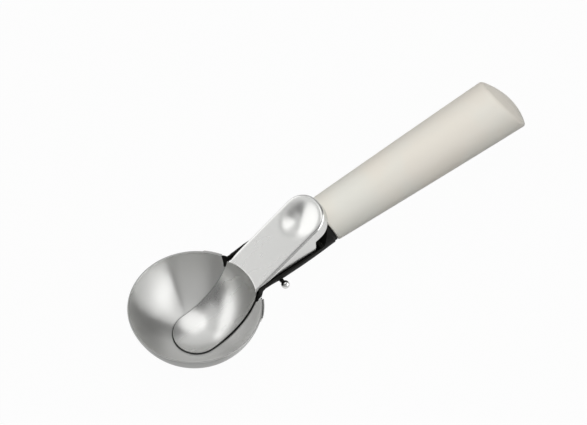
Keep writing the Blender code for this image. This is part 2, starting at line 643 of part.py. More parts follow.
def lever_rows(shape):
    """Rows of points from the lever's middle line to its edge, from the thumb's tip to the tongue's tip."""
    plate = LEVER_HALF_WIDTH - FOLD_RADIUS
    spread = [plate * j / PLATE_COLUMNS for j in range(PLATE_COLUMNS + 1)]
    inwards = -shape.up
    side_way = Vector((0, 1, 0))
    rear = shape.arm(ARM_LENGTH, 0) + shape.up * (shape.arm(0, 0) - shape.arm(ARM_LENGTH, 0)).dot(shape.up)
    ear_x = rear.x + EAR_SETBACK
    rows = []

    def add_row(place_at, outwards, strip_end):
        """One row with a full fold: place_at gives the plate, then the fold turns down into the strip."""
        row = [place_at(d) for d in spread]
        edge = row[-1]
        for k in range(1, FOLD_COLUMNS + 1):
            a = math.pi / 2 * k / FOLD_COLUMNS
            row.append(edge + outwards * FOLD_RADIUS * math.sin(a) + inwards * FOLD_RADIUS * (1 - math.cos(a)))
        base = row[-1]
        end = strip_end(base)
        row += [base + (end - base) * k / STRIP_COLUMNS for k in range(1, STRIP_COLUMNS + 1)]
        rows.append(row)

    for i in range(FAN_ROWS + 1):
        turn = math.pi / 2 * (1 - i / FAN_ROWS)
        side, ahead = math.cos(turn), math.sin(turn)
        skirt = TIP_SKIRT + (THUMB_SKIRT - TIP_SKIRT) * (1 - ahead ** 3)
        fuller = 1 + THUMB_FULLNESS * math.sin(2 * turn)
        add_row(lambda d: shape.arm(ARM_LENGTH + d * ahead * fuller, d * side * fuller),
                side_way * side + shape.along * ahead, lambda base: base + inwards * (skirt - FOLD_RADIUS))

    low = flange_edge(ear_x)
    corner = arc((ear_x - EAR_CORNER, low + EAR_CORNER), EAR_CORNER, 0, -math.pi / 2, 3)
    ear = [(ear_x, rear.z - EAR_TOP)] + corner
    first = ARM_LENGTH
    for i, (x, z) in enumerate(ear):
        first = ARM_LENGTH - EAR_CORNER * 0.3 * i
        add_row(lambda d: shape.arm(first, d), side_way, lambda base: Vector((x, base.y, z)))

    for i in range(1, ARM_ROWS + 1):
        share = i / ARM_ROWS
        add_row(lambda d: shape.arm(first + (shape.arm_start(d) - first) * share, d), side_way,
                lambda base: Vector((base.x, base.y, min(flange_edge(base.x), base.z - 0.0001))))

    extra = TONGUE_HALF_WIDTH - plate
    columns = FOLD_COLUMNS + STRIP_COLUMNS
    flat = spread + [plate + extra * k / columns for k in range(1, columns + 1)]
    last_fold = rows[-1]
    for i in range(1, BEND_ROWS + 1):
        share = 1 - i / BEND_ROWS
        row = [shape.bend(share, y) for y in flat]
        guide = shifted(last_fold, last_fold[0], row[0])
        rows.append([p.lerp(q, share ** 2) if n > PLATE_COLUMNS else p for n, (p, q) in enumerate(zip(row, guide))])
    for i in range(1, TONGUE_ROWS + 1):
        share = i / TONGUE_ROWS
        row = []
        for y in flat:
            start = shape.corner_angle(y) - BEND_SOFTNESS / shape.ball
            row.append(shape.tongue(start + (shape.tongue_angle(TONGUE_TIP_CENTRE, y) - start) * share, y))
        rows.append(row)
    for i in range(1, FAN_ROWS + 1):
        turn = math.pi / 2 * i / FAN_ROWS
        row = []
        for d in flat:
            x, y = TONGUE_TIP_CENTRE - d * math.sin(turn), d * math.cos(turn)
            row.append(shape.tongue(shape.tongue_angle(x, y), y))
        rows.append(row)
    return rows


def shifted(row, start, goal):
    """A row carried from one place to another."""
    return [p + (goal - start) for p in row]


def make_lever():
    """The pressed lever, drawn as its top surface on both sides of the middle, then given its thickness."""
    shape = LeverShape()
    rows = lever_rows(shape)
    bm = bmesh.new()
    for side in (1, -1):
        verts = [[bm.verts.new((p.x, side * p.y, p.z)) for p in row] for row in rows]
        for a, b in zip(verts, verts[1:]):
            for i in range(len(a) - 1):
                corners = (a[i], a[i + 1], b[i + 1], b[i])
                bm.faces.new(corners if side > 0 else corners[::-1])
    bmesh.ops.remove_doubles(bm, verts=bm.verts, dist=1e-7)
    bmesh.ops.dissolve_degenerate(bm, edges=bm.edges, dist=1e-7)
    lever = piece("lever", bm, lever_pivot, steel, PIVOT, sharp=math.radians(50))
    thicken(lever, LEVER_THICK, -1)
    return shape


def tangent_point(centre, radius, outside, side):
    """The angle at which a line from an outside point touches a circle."""
    reach = math.hypot(outside[0] - centre[0], outside[1] - centre[1])
    heading = math.atan2(outside[1] - centre[1], outside[0] - centre[0])
    return heading + side * math.acos(radius / reach)


def make_bracket(shape):
    """The hinge bracket, spot-welded under the arm, with two ears that turn on the pin."""
    top = -(LEVER_THICK + SEAT_GAP)
    start = Vector((shape.bend_x, 0, BEND_HEIGHT))

    def under(distance, depth):
        place = start + shape.along * distance + shape.up * depth
        return (place.x, place.z)

    near, far = BRACKET_START, BRACKET_START + BRACKET_LENGTH
    centre = (PIVOT.x, PIVOT.z)

    def outline(skin, radius):
        low = top - BRACKET_THICK
        right, left = under(far, low - SEAT_GAP), under(near, low - SEAT_GAP)
        first = tangent_point(centre, radius, right, -1)
        last = tangent_point(centre, radius, left, 1)
        ear = arc(centre, radius, first, last - 2 * math.pi, 12)
        if skin:
            return [under(near, top), under(far, top), right] + ear + [left]
        return [under(near - 0.002, low), under(far + 0.002, low)] + arc(centre, radius + 0.002, 0, -math.pi, 12)

    body = prism(outline(True, EAR_RADIUS), along_y, -BRACKET_HALF_WIDTH, BRACKET_HALF_WIDTH)
    bracket = piece("hinge_bracket", body, lever_pivot, steel, PIVOT)
    inside = BRACKET_HALF_WIDTH - BRACKET_THICK
    hollow = prism(outline(False, EAR_RADIUS), along_y, -inside, inside)
    combine(bracket, cutter("bracket_cutter", hollow), "DIFFERENCE")
    hole = PIN_RADIUS + HOLE_GAP
    reach = BRACKET_HALF_WIDTH * 1.5
    bore = turned([(-reach, hole), (reach, hole)], SMALL_SEGMENTS, moved(ACROSS, PIVOT))
    combine(bracket, cutter("bracket_hole_cutter", bore), "DIFFERENCE")


def neck_side_at(z):
    """Half width of the neck's outside at the pivot, at a height in the scoop's frame."""
    return NECK_HALF_WIDTH * math.sqrt(1 - ((HANDLE_AXIS_Z - z) / NECK_DEPTH) ** 2)


def make_pivot():
    """The pin with its round head, the cap pressed on its other end, two thin washers and the spring's bush."""
    at = moved(ACROSS, PIVOT)
    side = neck_side_at(PIVOT.z)
    head = side + PIN_HEAD_STANDOFF + PIN_HEAD_RADIUS
    cap_seat = neck_side_at(PIVOT.z + PIN_CAP_RADIUS) + SEAT_GAP
    end = cap_seat + PIN_CAP_LENGTH - PIN_CAP_WALL - SEAT_GAP
    neck_angle = math.asin(PIN_RADIUS / PIN_HEAD_RADIUS)
    ball = arc((-head, 0), PIN_HEAD_RADIUS, math.pi * 0.97, neck_angle, 9)
    pin = piece("pivot_pin", turned(ball + [(end, PIN_RADIUS)], SMALL_SEGMENTS, at), scoop, steel, PIVOT)
    pin.data.set_sharp_from_angle(angle=math.radians(60))
    bore = PIN_RADIUS + HOLE_GAP
    round_off = 0.0006
    cap = [(cap_seat, bore), (cap_seat, PIN_CAP_RADIUS)]
    cap += [(cap_seat + PIN_CAP_LENGTH - round_off, PIN_CAP_RADIUS)]
    cap += [(cap_seat + PIN_CAP_LENGTH, PIN_CAP_RADIUS - round_off)]
    cap_body = turned(cap[1:], SMALL_SEGMENTS, at)
    lid = piece("pin_cap", cap_body, scoop, steel, PIVOT)
    blind = turned([(cap_seat - 0.001, bore), (end + SEAT_GAP, bore)], SMALL_SEGMENTS, at)
    combine(lid, cutter("cap_bore_cutter", blind), "DIFFERENCE")
    for way, label in ((-1, "left"), (1, "right")):
        a = way * (BRACKET_HALF_WIDTH + SEAT_GAP)
        b = way * (BRACKET_HALF_WIDTH + SEAT_GAP + WASHER_WIDTH)
        ring = [(a, bore), (a, PIVOT_WASHER_RADIUS), (b, PIVOT_WASHER_RADIUS), (b, bore)]
        body = turned(ring, SMALL_SEGMENTS, at, closed=True)
        piece(f"pivot_washer_{label}", body, scoop, steel, PIVOT)
    half = BRACKET_HALF_WIDTH - BRACKET_THICK - SEAT_GAP
    tube = [(-half, bore), (-half, BUSH_RADIUS), (half, BUSH_RADIUS), (half, bore)]
    piece("pivot_bush", turned(tube, SMALL_SEGMENTS, at, closed=True), scoop, nylon, PIVOT)


def spring_points(shape):
    """The wire's middle line: a leg on the neck's floor, the coil, and a leg up to the bracket's plate."""
    floor = HANDLE_AXIS_Z - NECK_DEPTH + WELL_FLOOR + WIRE_RADIUS + SEAT_GAP
    plate = LEVER_THICK + SEAT_GAP + BRACKET_THICK + SEAT_GAP + WIRE_RADIUS
    line_start = Vector((shape.bend_x, 0, BEND_HEIGHT)) - shape.up * plate
    base = (line_start - PIVOT).dot(shape.up)
    lean = math.acos(min(1, base / ARM_LEG))
    goal = PIVOT + (shape.up * math.cos(lean) + shape.along * math.sin(lean)) * ARM_LEG
    heading = math.atan2(goal.z - PIVOT.z, goal.x - PIVOT.x)
    tangent = heading - math.asin(COIL_RADIUS / ARM_LEG)
    start = -math.pi / 2
    sweep = COIL_TURNS * 2 * math.pi + (start - (tangent + math.pi / 2)) % (2 * math.pi)
    steps = round(COIL_POINTS * sweep / (2 * math.pi))
    length = COIL_PITCH * sweep / (2 * math.pi)
    points = [Vector((PIVOT.x + FLOOR_LEG, -length / 2, floor))]
    for i in range(steps + 1):
        share = i / steps
        a = start - sweep * share
        across = Vector((COIL_RADIUS * math.cos(a), 0, COIL_RADIUS * math.sin(a)))
        points.append(PIVOT + across + Vector((0, length * (share - 0.5), 0)))
    points.append(Vector((goal.x, length / 2, goal.z)))
    return points


def least_gap(points):
    """Least distance between the surfaces of the wire's turns, measured on its points half a turn or more apart."""
    apart = COIL_POINTS // 2
    nearest = min((points[i] - points[j]).length for i in range(len(points)) for j in range(i + apart, len(points)))
    return nearest - 2 * WIRE_RADIUS


def make_spring(shape):
    """The torsion spring, one unbroken wire."""
    points = spring_points(shape)
    curve = bpy.data.curves.new("return_spring", "CURVE")
    curve.dimensions = "3D"
    curve.bevel_depth = WIRE_RADIUS
    curve.bevel_resolution = 1
    curve.use_fill_caps = True
    line = curve.splines.new("POLY")
    line.points.add(len(points) - 1)
    for spot, place in zip(line.points, points):
        spot.co = (*(place - PIVOT), 1)
    curve.materials.append(steel)
    spring = bpy.data.objects.new("return_spring", curve)
    spring.location = PIVOT
    spring.parent = scoop
    bpy.context.scene.collection.objects.link(spring)
    print("return_spring: least gap between turns, mm:", round(least_gap(points) * 1000, 3))


steel = finish("steel", (0.72, 0.72, 0.71), 0.28, 1.0)
black = finish("black_plastic", (0.012, 0.012, 0.011), 0.42, 0.0)
cream = finish("cream_plastic", (0.78, 0.75, 0.69), 0.36, 0.0)
nylon = finish("nylon", (0.70, 0.68, 0.62), 0.55, 0.0)

scoop = empty("scoop", (0, 0, BOWL_DEPTH))
lever_pivot = empty("lever_pivot", PIVOT, scoop)

bowl_piece = make_bowl()
saddle_piece = make_saddle()
neck_piece = make_neck()
make_screws((bowl_piece, saddle_piece, neck_piece))
handle_piece = make_handle()
make_end_plug()
make_tang()
lever_shape = make_lever()
make_bracket(lever_shape)
make_pivot()
make_spring(lever_shape)

scoop.location.x = -(min(v.co.x for v in bowl_piece.data.vertices) + max(v.co.x for v in handle_piece.data.vertices)) / 2
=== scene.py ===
# %% [markdown]
# # Ice cream scoop
#
# A pressed steel bowl, a black trough for a neck, a pale moulded handle, and a thumb lever whose front is a tongue
# that lies in the bowl and lifts the ball out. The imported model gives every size, and the pieces here are drawn finer
# in the same places. All lengths are in metres.

# %% Load the frame
import json
import math

import bmesh
import bpy
from mathutils import Matrix, Vector


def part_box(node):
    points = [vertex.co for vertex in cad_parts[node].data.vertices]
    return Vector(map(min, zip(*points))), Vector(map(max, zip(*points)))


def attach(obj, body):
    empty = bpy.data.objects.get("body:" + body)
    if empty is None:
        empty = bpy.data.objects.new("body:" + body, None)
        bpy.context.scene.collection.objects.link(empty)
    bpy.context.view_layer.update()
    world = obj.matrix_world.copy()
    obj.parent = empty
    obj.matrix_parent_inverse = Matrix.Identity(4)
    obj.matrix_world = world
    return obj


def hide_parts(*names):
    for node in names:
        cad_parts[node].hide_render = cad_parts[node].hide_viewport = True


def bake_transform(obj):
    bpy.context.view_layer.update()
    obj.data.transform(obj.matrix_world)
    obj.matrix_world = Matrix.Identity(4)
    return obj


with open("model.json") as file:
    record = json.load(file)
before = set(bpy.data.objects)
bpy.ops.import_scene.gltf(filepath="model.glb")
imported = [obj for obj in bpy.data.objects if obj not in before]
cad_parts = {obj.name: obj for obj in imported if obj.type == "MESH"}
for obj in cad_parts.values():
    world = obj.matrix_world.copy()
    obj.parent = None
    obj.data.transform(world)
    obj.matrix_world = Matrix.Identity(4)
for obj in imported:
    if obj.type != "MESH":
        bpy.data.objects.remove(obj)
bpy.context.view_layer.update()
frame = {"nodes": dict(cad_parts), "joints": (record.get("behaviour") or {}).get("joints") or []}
nodes = frame["nodes"]
print("nodes:", ", ".join(sorted(nodes)))

# %% [markdown]
# The bowl gives the place to measure from. Its rim is level, and the bowl and the tongue are both parts of balls whose
# middles lie on the upright line through the middle of the rim. Reading that place from the box of the solid keeps the
# pieces on the model if the model moves.

# %% The middle of the rim
BOWL_RADIUS = 0.0300
BOWL_DEPTH = 0.0240
BOWL_WALL = 0.0008
bowl_low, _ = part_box("bowl")
RIM = Vector((bowl_low.x + BOWL_RADIUS, 0, bowl_low.z + BOWL_DEPTH))
BALL = (BOWL_RADIUS ** 2 + BOWL_DEPTH ** 2) / (2 * BOWL_DEPTH)
BALL_UP = BALL - BOWL_DEPTH
joint = frame["joints"][0]
PIVOT = Vector(joint["pos_m"]) - RIM
print("rim centre", [round(v, 5) for v in RIM], "pivot from it", [round(v, 5) for v in PIVOT])

# %% [markdown]
# A photograph of a small thing is taken from some way off with a long lens, so its lines hardly converge. A distant
# camera with a long lens would do, and one without perspective does the same with fewer numbers. Its three directions
# come from how the rim's circle and the handle's line lie in the picture.

# %% Camera
PICTURE_WIDTH = 587
PIXELS_PER_METRE = 2267
VIEW_RIGHT = Vector((0.7967, -0.6030, -0.0389)).normalized()
VIEW_BACK = Vector((-0.310, -0.463, 0.830)).normalized()
VIEW_RIGHT = (VIEW_RIGHT - VIEW_BACK * VIEW_RIGHT.dot(VIEW_BACK)).normalized()
VIEW_UP = VIEW_BACK.cross(VIEW_RIGHT)
VIEW_MIDDLE = RIM + Vector((0.05629, 0.00091, 0.02155))
VIEW_DISTANCE = 0.9
NEAREST, FARTHEST = 0.01, 10

lens = bpy.data.cameras.new("camera")
lens.type = "ORTHO"
lens.ortho_scale = PICTURE_WIDTH / PIXELS_PER_METRE
lens.clip_start = NEAREST
lens.clip_end = FARTHEST
camera = bpy.data.objects.new("camera", lens)
bpy.context.scene.collection.objects.link(camera)
place = Matrix((VIEW_RIGHT, VIEW_UP, VIEW_BACK)).transposed().to_4x4()
place.translation = VIEW_MIDDLE + VIEW_BACK * VIEW_DISTANCE
camera.matrix_world = place
bpy.context.scene.camera = camera
print("picture width in metres", round(lens.ortho_scale, 4))

# %% [markdown]
# Shader trees are built with a few small helpers. They could be clicked together by hand, but in a script a helper
# keeps each node on one line: one adds a node and feeds its inputs, two do sums and ranges, and one mixes colours.

# %% Helpers for nodes
def feed(tree, socket, value):
    """Links a socket to another one, or sets it to a value."""
    if isinstance(value, bpy.types.NodeSocket):
        tree.links.new(value, socket)
    else:
        socket.default_value = value


def add(tree, kind, inputs=None, **settings):
    """A node with its settings and its inputs."""
    node = tree.nodes.new(kind)
    for name, value in settings.items():
        setattr(node, name, value)
    for name, value in (inputs or {}).items():
        feed(tree, node.inputs[name], value)
    return node


def arithmetic(tree, operation, *values):
    """The result of a math node."""
    return add(tree, "ShaderNodeMath", dict(enumerate(values)), operation=operation).outputs[0]


def ramp(tree, value, low, high, start, end):
    """Carries a value from one range to another, smoothly."""
    node = add(tree, "ShaderNodeMapRange", {"From Min": low, "From Max": high, "To Min": start, "To Max": end,
                                            "Value": value}, interpolation_type="SMOOTHSTEP")
    return node.outputs["Result"]


def tint(tree, share, first, second):
    """Mixes two colours by a share."""
    return add(tree, "ShaderNodeMix", {0: share, 6: first, 7: second}, data_type="RGBA").outputs[2]


def arrows(tree, operation, first, second=None):
    """A vector math node."""
    inputs = {0: first} if second is None else {0: first, 1: second}
    return add(tree, "ShaderNodeVectorMath", inputs, operation=operation)


print("helpers for nodes are ready")

# %% [markdown]
# What more than one finish uses is a node group with named sockets. A group could be copied into each material, but
# made once it stays the same everywhere, and each material sets its own values on it.

# %% Helper for groups
FLOAT, VECTOR = "NodeSocketFloat", "NodeSocketVector"


def group(name, inputs, outputs):
    """A node group and its two end nodes. Inputs are (name, kind, value), and outputs are (name, kind)."""
    tree = bpy.data.node_groups.new(name, "ShaderNodeTree")
    for label, kind, value in inputs:
        socket = tree.interface.new_socket(label, in_out="INPUT", socket_type=kind)
        if value is not None:
            socket.default_value = value
    for label, kind in outputs:
        tree.interface.new_socket(label, in_out="OUTPUT", socket_type=kind)
    return tree, tree.nodes.new("NodeGroupInput").outputs, tree.nodes.new("NodeGroupOutput")


print("sockets are of the kinds", FLOAT, "and", VECTOR)

# %% [markdown]
# Brushed metal carries fine lines. On the bowl they run round its middle, as they do on a cup that was polished while
# it turned, and on the lever they run along it. They could be cut as geometry, but they are far finer than any face.
# One group makes them from noise and puts out the height of the lines and how rough they leave the metal. What it
# gets as its place decides which way the lines run.

# %% Group: brushing
WIDE_LINE_SHARE = 0.12
ROUGHNESS_SWING = 4.0
brushing, given, result = group(
    "brushing", [("Place", VECTOR, None), ("Fineness", FLOAT, 900.0), ("Roughness", FLOAT, 0.25),
                 ("Unevenness", FLOAT, 0.008)],
    [("Height", FLOAT), ("Roughness", FLOAT)])
fine_lines = add(brushing, "ShaderNodeTexNoise", {"Vector": given["Place"], "Scale": given["Fineness"],
                                                  "Detail": 3.0, "Roughness": 0.6})
wide_scale = arithmetic(brushing, "MULTIPLY", given["Fineness"], WIDE_LINE_SHARE)
wide_lines = add(brushing, "ShaderNodeTexNoise", {"Vector": given["Place"], "Scale": wide_scale, "Detail": 2.0})
spread = arithmetic(brushing, "SUBTRACT", wide_lines.outputs["Fac"], 0.5)
uneven = arithmetic(brushing, "MULTIPLY", spread, given["Unevenness"])
swing = arithmetic(brushing, "MULTIPLY", uneven, ROUGHNESS_SWING)
rough = arithmetic(brushing, "ADD", given["Roughness"], swing)
brushing.links.new(fine_lines.outputs["Fac"], result.inputs["Height"])
brushing.links.new(rough, result.inputs["Roughness"])
print("group", brushing.name, "with", len(brushing.nodes), "nodes")

# %% [markdown]
# Handling leaves faint smudges and tiny scratches on every piece. They could be painted on an image, but a noise needs
# none and has no seam. This group puts out a patchy mask from a large noise. Its second mask follows the middle value
# of another noise, which draws thin wandering lines like scratches.

# %% Group: handling
SMUDGE_RANGE = (0.35, 0.7)
SCRATCH_WIDTH = 0.012
handling, given, result = group(
    "handling", [("Place", VECTOR, None), ("Patch Size", FLOAT, 60.0), ("Scratch Size", FLOAT, 220.0)],
    [("Smudge", FLOAT), ("Scratch", FLOAT)])
patches = add(handling, "ShaderNodeTexNoise", {"Vector": given["Place"], "Scale": given["Patch Size"],
                                               "Detail": 2.0, "Roughness": 0.5})
marks = add(handling, "ShaderNodeTexNoise", {"Vector": given["Place"], "Scale": given["Scratch Size"],
                                             "Detail": 1.0, "Distortion": 1.5})
from_middle = arithmetic(handling, "ABSOLUTE", arithmetic(handling, "SUBTRACT", marks.outputs["Fac"], 0.5))
handling.links.new(ramp(handling, patches.outputs["Fac"], *SMUDGE_RANGE, 0.0, 1.0), result.inputs["Smudge"])
handling.links.new(ramp(handling, from_middle, 0.0, SCRATCH_WIDTH, 1.0, 0.0), result.inputs["Scratch"])
print("group", handling.name, "with", len(handling.nodes), "nodes")

# %% [markdown]
# Where two pieces nearly touch, little light gets in, and round the tongue this shows as a dark line. It is painted
# into the colour as shade. A dark curve could be laid there, but it would have to move with the lever. This group finds
# such places from how much of the surface's view is blocked within a short distance, and puts out a mask for that
# painted shade.

# %% Group: painted shade in gaps
GAP_SAMPLES = 16
GAP_RANGE = (0.52, 0.78)
gap_shading, given, result = group("gap_shading", [("Reach", FLOAT, 0.0022)], [("Open", FLOAT)])
blocked = add(gap_shading, "ShaderNodeAmbientOcclusion", {"Distance": given["Reach"]}, samples=GAP_SAMPLES)
gap_shading.links.new(ramp(gap_shading, blocked.outputs["AO"], *GAP_RANGE, 0.0, 1.0), result.inputs["Open"])
print("group", gap_shading.name, "with", len(gap_shading.nodes), "nodes")

# %% [markdown]
# Each finish starts from a material with its Principled BSDF. Every fixed number goes on the shader's own socket, and
# only values that change over the surface are linked, because an exported model keeps the first and bakes the second.

# %% Start of a finish
def new_finish(name, **fixed):
    """A material, its tree and its shader, with the shader's fixed values set."""
    material = bpy.data.materials.new(name)
    material.use_nodes = True
    tree = material.node_tree
    shader = tree.nodes["Principled BSDF"]
    for label, value in fixed.items():
        shader.inputs[label.replace("_", " ")].default_value = value
    return material, tree, shader


def bump(tree, shader, height, strength, distance):
    """Feeds a height into the shader's normal."""
    node = add(tree, "ShaderNodeBump", {"Height": height, "Strength": strength, "Distance": distance})
    tree.links.new(node.outputs["Normal"], shader.inputs["Normal"])


print("finishes start from a Principled BSDF")

# %% [markdown]
# Steel that was polished on a turning head reflects a lamp as a bright wedge that narrows to the middle. A painted
# gradient would stand still when the light moves. Anisotropy gives the real thing: the lines spread a reflection across
# themselves. Its tangent here runs up the bowl's wall, square to the lines. A second helper finds the bowl's inside by
# which way the surface faces, and gives the outside and lip a darker steel tone: painted shade that stands in for the
# shaded floor they reflect.

# %% Steel: the turned bowl
# The darker tone is painted shade on the bowl's outside and lip.
STEEL_OUTSIDE_SHADE = (0.42, 0.42, 0.41, 1)
INSIDE_RANGE = (0.55, 0.9)


def turned_lines(tree, spot, shader):
    """A place that is the same all along a ring round the bowl, and the tangent square to the rings."""
    away = arrows(tree, "MULTIPLY", spot, (1, 1, 0)).outputs[0]
    radius = arrows(tree, "LENGTH", away).outputs["Value"]
    height = add(tree, "ShaderNodeSeparateXYZ", {0: spot}).outputs["Z"]
    outward = add(tree, "ShaderNodeNewGeometry").outputs["Normal"]
    around = arrows(tree, "CROSS_PRODUCT", (0, 0, 1), away).outputs[0]
    tree.links.new(arrows(tree, "CROSS_PRODUCT", outward, around).outputs[0], shader.inputs["Tangent"])
    return add(tree, "ShaderNodeCombineXYZ", {"X": radius, "Y": height}).outputs[0], outward


def shade_outside(tree, spot, outward, tone):
    """Mixes in the darker tone, painted shade, where the surface doesn't face the middle of the ball."""
    to_ball = arrows(tree, "SUBTRACT", (0, 0, BALL_UP), spot).outputs[0]
    to_ball = arrows(tree, "NORMALIZE", to_ball).outputs[0]
    facing = arrows(tree, "DOT_PRODUCT", outward, to_ball).outputs["Value"]
    return tint(tree, ramp(tree, facing, *INSIDE_RANGE, 0.0, 1.0), STEEL_OUTSIDE_SHADE, tone)


print("the ball's middle is", round(BALL_UP * 1000, 2), "mm above the rim")

# %% [markdown]
# The flat pressings and the small hardware have the same steel with straight lines along the scoop. One function makes
# them all. A material for each piece could be written out, but then a change to the steel would have to be made four
# times. They differ in the way the lines run, how rough they are, and whether painted shade goes into the gaps between
# pieces.

# %% Steel finishes
STEEL_TONE = (0.74, 0.74, 0.725, 1)
STEEL_WORN = (0.734, 0.734, 0.719, 1)
# The near-black tone is painted shade for the gaps between pieces.
STEEL_GAP_SHADE = (0.06, 0.06, 0.058, 1)
ALONG_THE_SCOOP = (0.03, 1, 1)
SMUDGE_ROUGHNESS = 0.004
LINE_BUMP = 0.15
LINE_DEPTH = 0.00002


def steel_finish(name, roughness, anisotropy=0.0, turned=False, fineness=900.0, painted_gap_shade=False):
    """Brushed steel. Turned steel has rings round the bowl's middle, and other steel has lines along X."""
    material, tree, shader = new_finish(name, Metallic=1.0, Anisotropic=anisotropy)
    spot = add(tree, "ShaderNodeTexCoord").outputs["Object"]
    if turned:
        lines, outward = turned_lines(tree, spot, shader)
    else:
        lines = arrows(tree, "MULTIPLY", spot, ALONG_THE_SCOOP).outputs[0]
    brushed = add(tree, "ShaderNodeGroup", node_tree=brushing)
    for label, value in (("Place", lines), ("Fineness", fineness), ("Roughness", roughness)):
        feed(tree, brushed.inputs[label], value)
    handled = add(tree, "ShaderNodeGroup", node_tree=handling)
    feed(tree, handled.inputs["Place"], spot)
    smudged = arithmetic(tree, "MULTIPLY", handled.outputs["Smudge"], SMUDGE_ROUGHNESS)
    feed(tree, shader.inputs["Roughness"], arithmetic(tree, "ADD", brushed.outputs["Roughness"], smudged))
    tone = tint(tree, handled.outputs["Smudge"], STEEL_TONE, STEEL_WORN)
    # The bowl's outside and lip get a darker tone: painted shade for the shaded floor that they reflect.
    if turned:
        tone = shade_outside(tree, spot, outward, tone)
    # Where a near piece blocks the view, the tone goes towards near black: painted shade in the gaps.
    if painted_gap_shade:
        clear = add(tree, "ShaderNodeGroup", node_tree=gap_shading)
        tone = tint(tree, clear.outputs["Open"], STEEL_GAP_SHADE, tone)
    feed(tree, shader.inputs["Base Color"], tone)
    bump(tree, shader, brushed.outputs["Height"], LINE_BUMP, LINE_DEPTH)
    return material


bowl_steel = steel_finish("bowl_steel", 0.31, anisotropy=1.0, turned=True, painted_gap_shade=True)
lever_steel = steel_finish("lever_steel", 0.27, painted_gap_shade=True)
strap_steel = steel_finish("strap_steel", 0.26)
hardware_steel = steel_finish("hardware_steel", 0.22, fineness=600.0)
print("steel finishes:", bowl_steel.name, lever_steel.name, strap_steel.name, hardware_steel.name)

# %% [markdown]
# The neck is black plastic from a mould whose wall was left with a fine grain. The handle is a warm off-white plastic
# with a soft gloss: its colour wanders a little between warm and cool, and its skin has the slight orange-peel of a
# thick moulding. A single colour would look like a drawing, so the smudge mask mixes two near tones and moves the
# roughness a little.

# %% Plastic finishes
PLASTIC_PATCH_SIZE = 38.0
SCRATCHED_ROUGHNESS = 0.06
PATCHY_ROUGHNESS = 0.05
SKIN_BUMP = 0.3


def plastic_finish(name, colour, other, roughness, grain, depth, gloss=0.5):
    """Moulded plastic with a colour that wanders between two tones."""
    material, tree, shader = new_finish(name, Specular_IOR_Level=gloss)
    spot = add(tree, "ShaderNodeTexCoord").outputs["Object"]
    handled = add(tree, "ShaderNodeGroup", node_tree=handling)
    feed(tree, handled.inputs["Place"], spot)
    feed(tree, handled.inputs["Patch Size"], PLASTIC_PATCH_SIZE)
    feed(tree, shader.inputs["Base Color"], tint(tree, handled.outputs["Smudge"], colour, other))
    marked = arithmetic(tree, "MULTIPLY", handled.outputs["Scratch"], SCRATCHED_ROUGHNESS)
    patchy = arithmetic(tree, "MULTIPLY", handled.outputs["Smudge"], PATCHY_ROUGHNESS)
    rough = arithmetic(tree, "ADD", arithmetic(tree, "ADD", marked, patchy), roughness)
    feed(tree, shader.inputs["Roughness"], rough)
    moulded = add(tree, "ShaderNodeTexNoise", {"Vector": spot, "Scale": grain, "Detail": 2.0})
    bump(tree, shader, moulded.outputs["Fac"], SKIN_BUMP, depth)
    return material


neck_black = plastic_finish("neck_black", (0.007, 0.007, 0.006, 1), (0.010, 0.010, 0.009, 1), 0.55,
                            grain=2600.0, depth=0.00003, gloss=0.08)
handle_cream = plastic_finish("handle_cream", (0.76, 0.72, 0.645, 1), (0.74, 0.73, 0.67, 1), 0.48,
                              grain=260.0, depth=0.00006, gloss=0.2)
bush_nylon = plastic_finish("bush_nylon", (0.70, 0.68, 0.62, 1), (0.66, 0.64, 0.58, 1), 0.50,
                            grain=1200.0, depth=0.00003)
print("plastic finishes:", neck_black.name, handle_cream.name, bush_nylon.name)

# %% [markdown]
# Pieces are drawn from rings and grids of points, measured from the middle of the rim. Each becomes an object whose
# origin is that middle, so the turned finish finds the bowl's axis. Edges sharper than a given angle stay sharp, and
# all others are shaded smooth, which needs fewer faces than a finer mesh would.

# %% Helpers for pieces
MERGE_DISTANCE = 1e-7


def new_piece(name, bm, finish, sharp):
    """An object from a mesh drawn from the rim's middle."""
    bmesh.ops.remove_doubles(bm, verts=bm.verts, dist=MERGE_DISTANCE)
    bmesh.ops.recalc_face_normals(bm, faces=bm.faces)
    mesh = bpy.data.meshes.new(name)
    bm.to_mesh(mesh)
    bm.free()
    mesh.materials.append(finish)
    mesh.shade_smooth()
    mesh.set_sharp_from_angle(angle=math.radians(sharp))
    thing = bpy.data.objects.new(name, mesh)
    thing.location = RIM
    bpy.context.scene.collection.objects.link(thing)
    return thing


def make(name, bm, finish, node, body, sharp=35):
    """A piece that rides on its body and stands for its solid."""
    thing = new_piece(name, bm, finish, sharp)
    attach(thing, body)
    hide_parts(node)
    return thing


def skin(rings, closed=False):
    """Skins a row of rings of points. The row closes on itself or gets a face on each end."""
    bm = bmesh.new()
    made = [[bm.verts.new(p) for p in ring] for ring in rings]
    for a, b in zip(made, made[1:] + made[:1] if closed else made[1:]):
        for i in range(len(a)):
            j = (i + 1) % len(a)
            bm.faces.new((a[i], a[j], b[j], b[i]))
    if not closed:
        bm.faces.new(made[0])
        bm.faces.new(made[-1])
    return bm


print("points nearer than", MERGE_DISTANCE, "m are merged")

# %% [markdown]
# Half of the scoop is round, so two more helpers serve most pieces: one turns a profile round an axis, and one gives
# the points of an arc for rounded corners. Blender's own screw modifier could turn a profile too, but rings of points
# can also lean, taper and be cut.

# %% Helpers for round forms
UPRIGHT = Matrix(((0, 1, 0), (0, 0, 1), (1, 0, 0))).to_4x4()
ACROSS = Matrix(((0, 1, 0), (1, 0, 0), (0, 0, -1))).to_4x4()


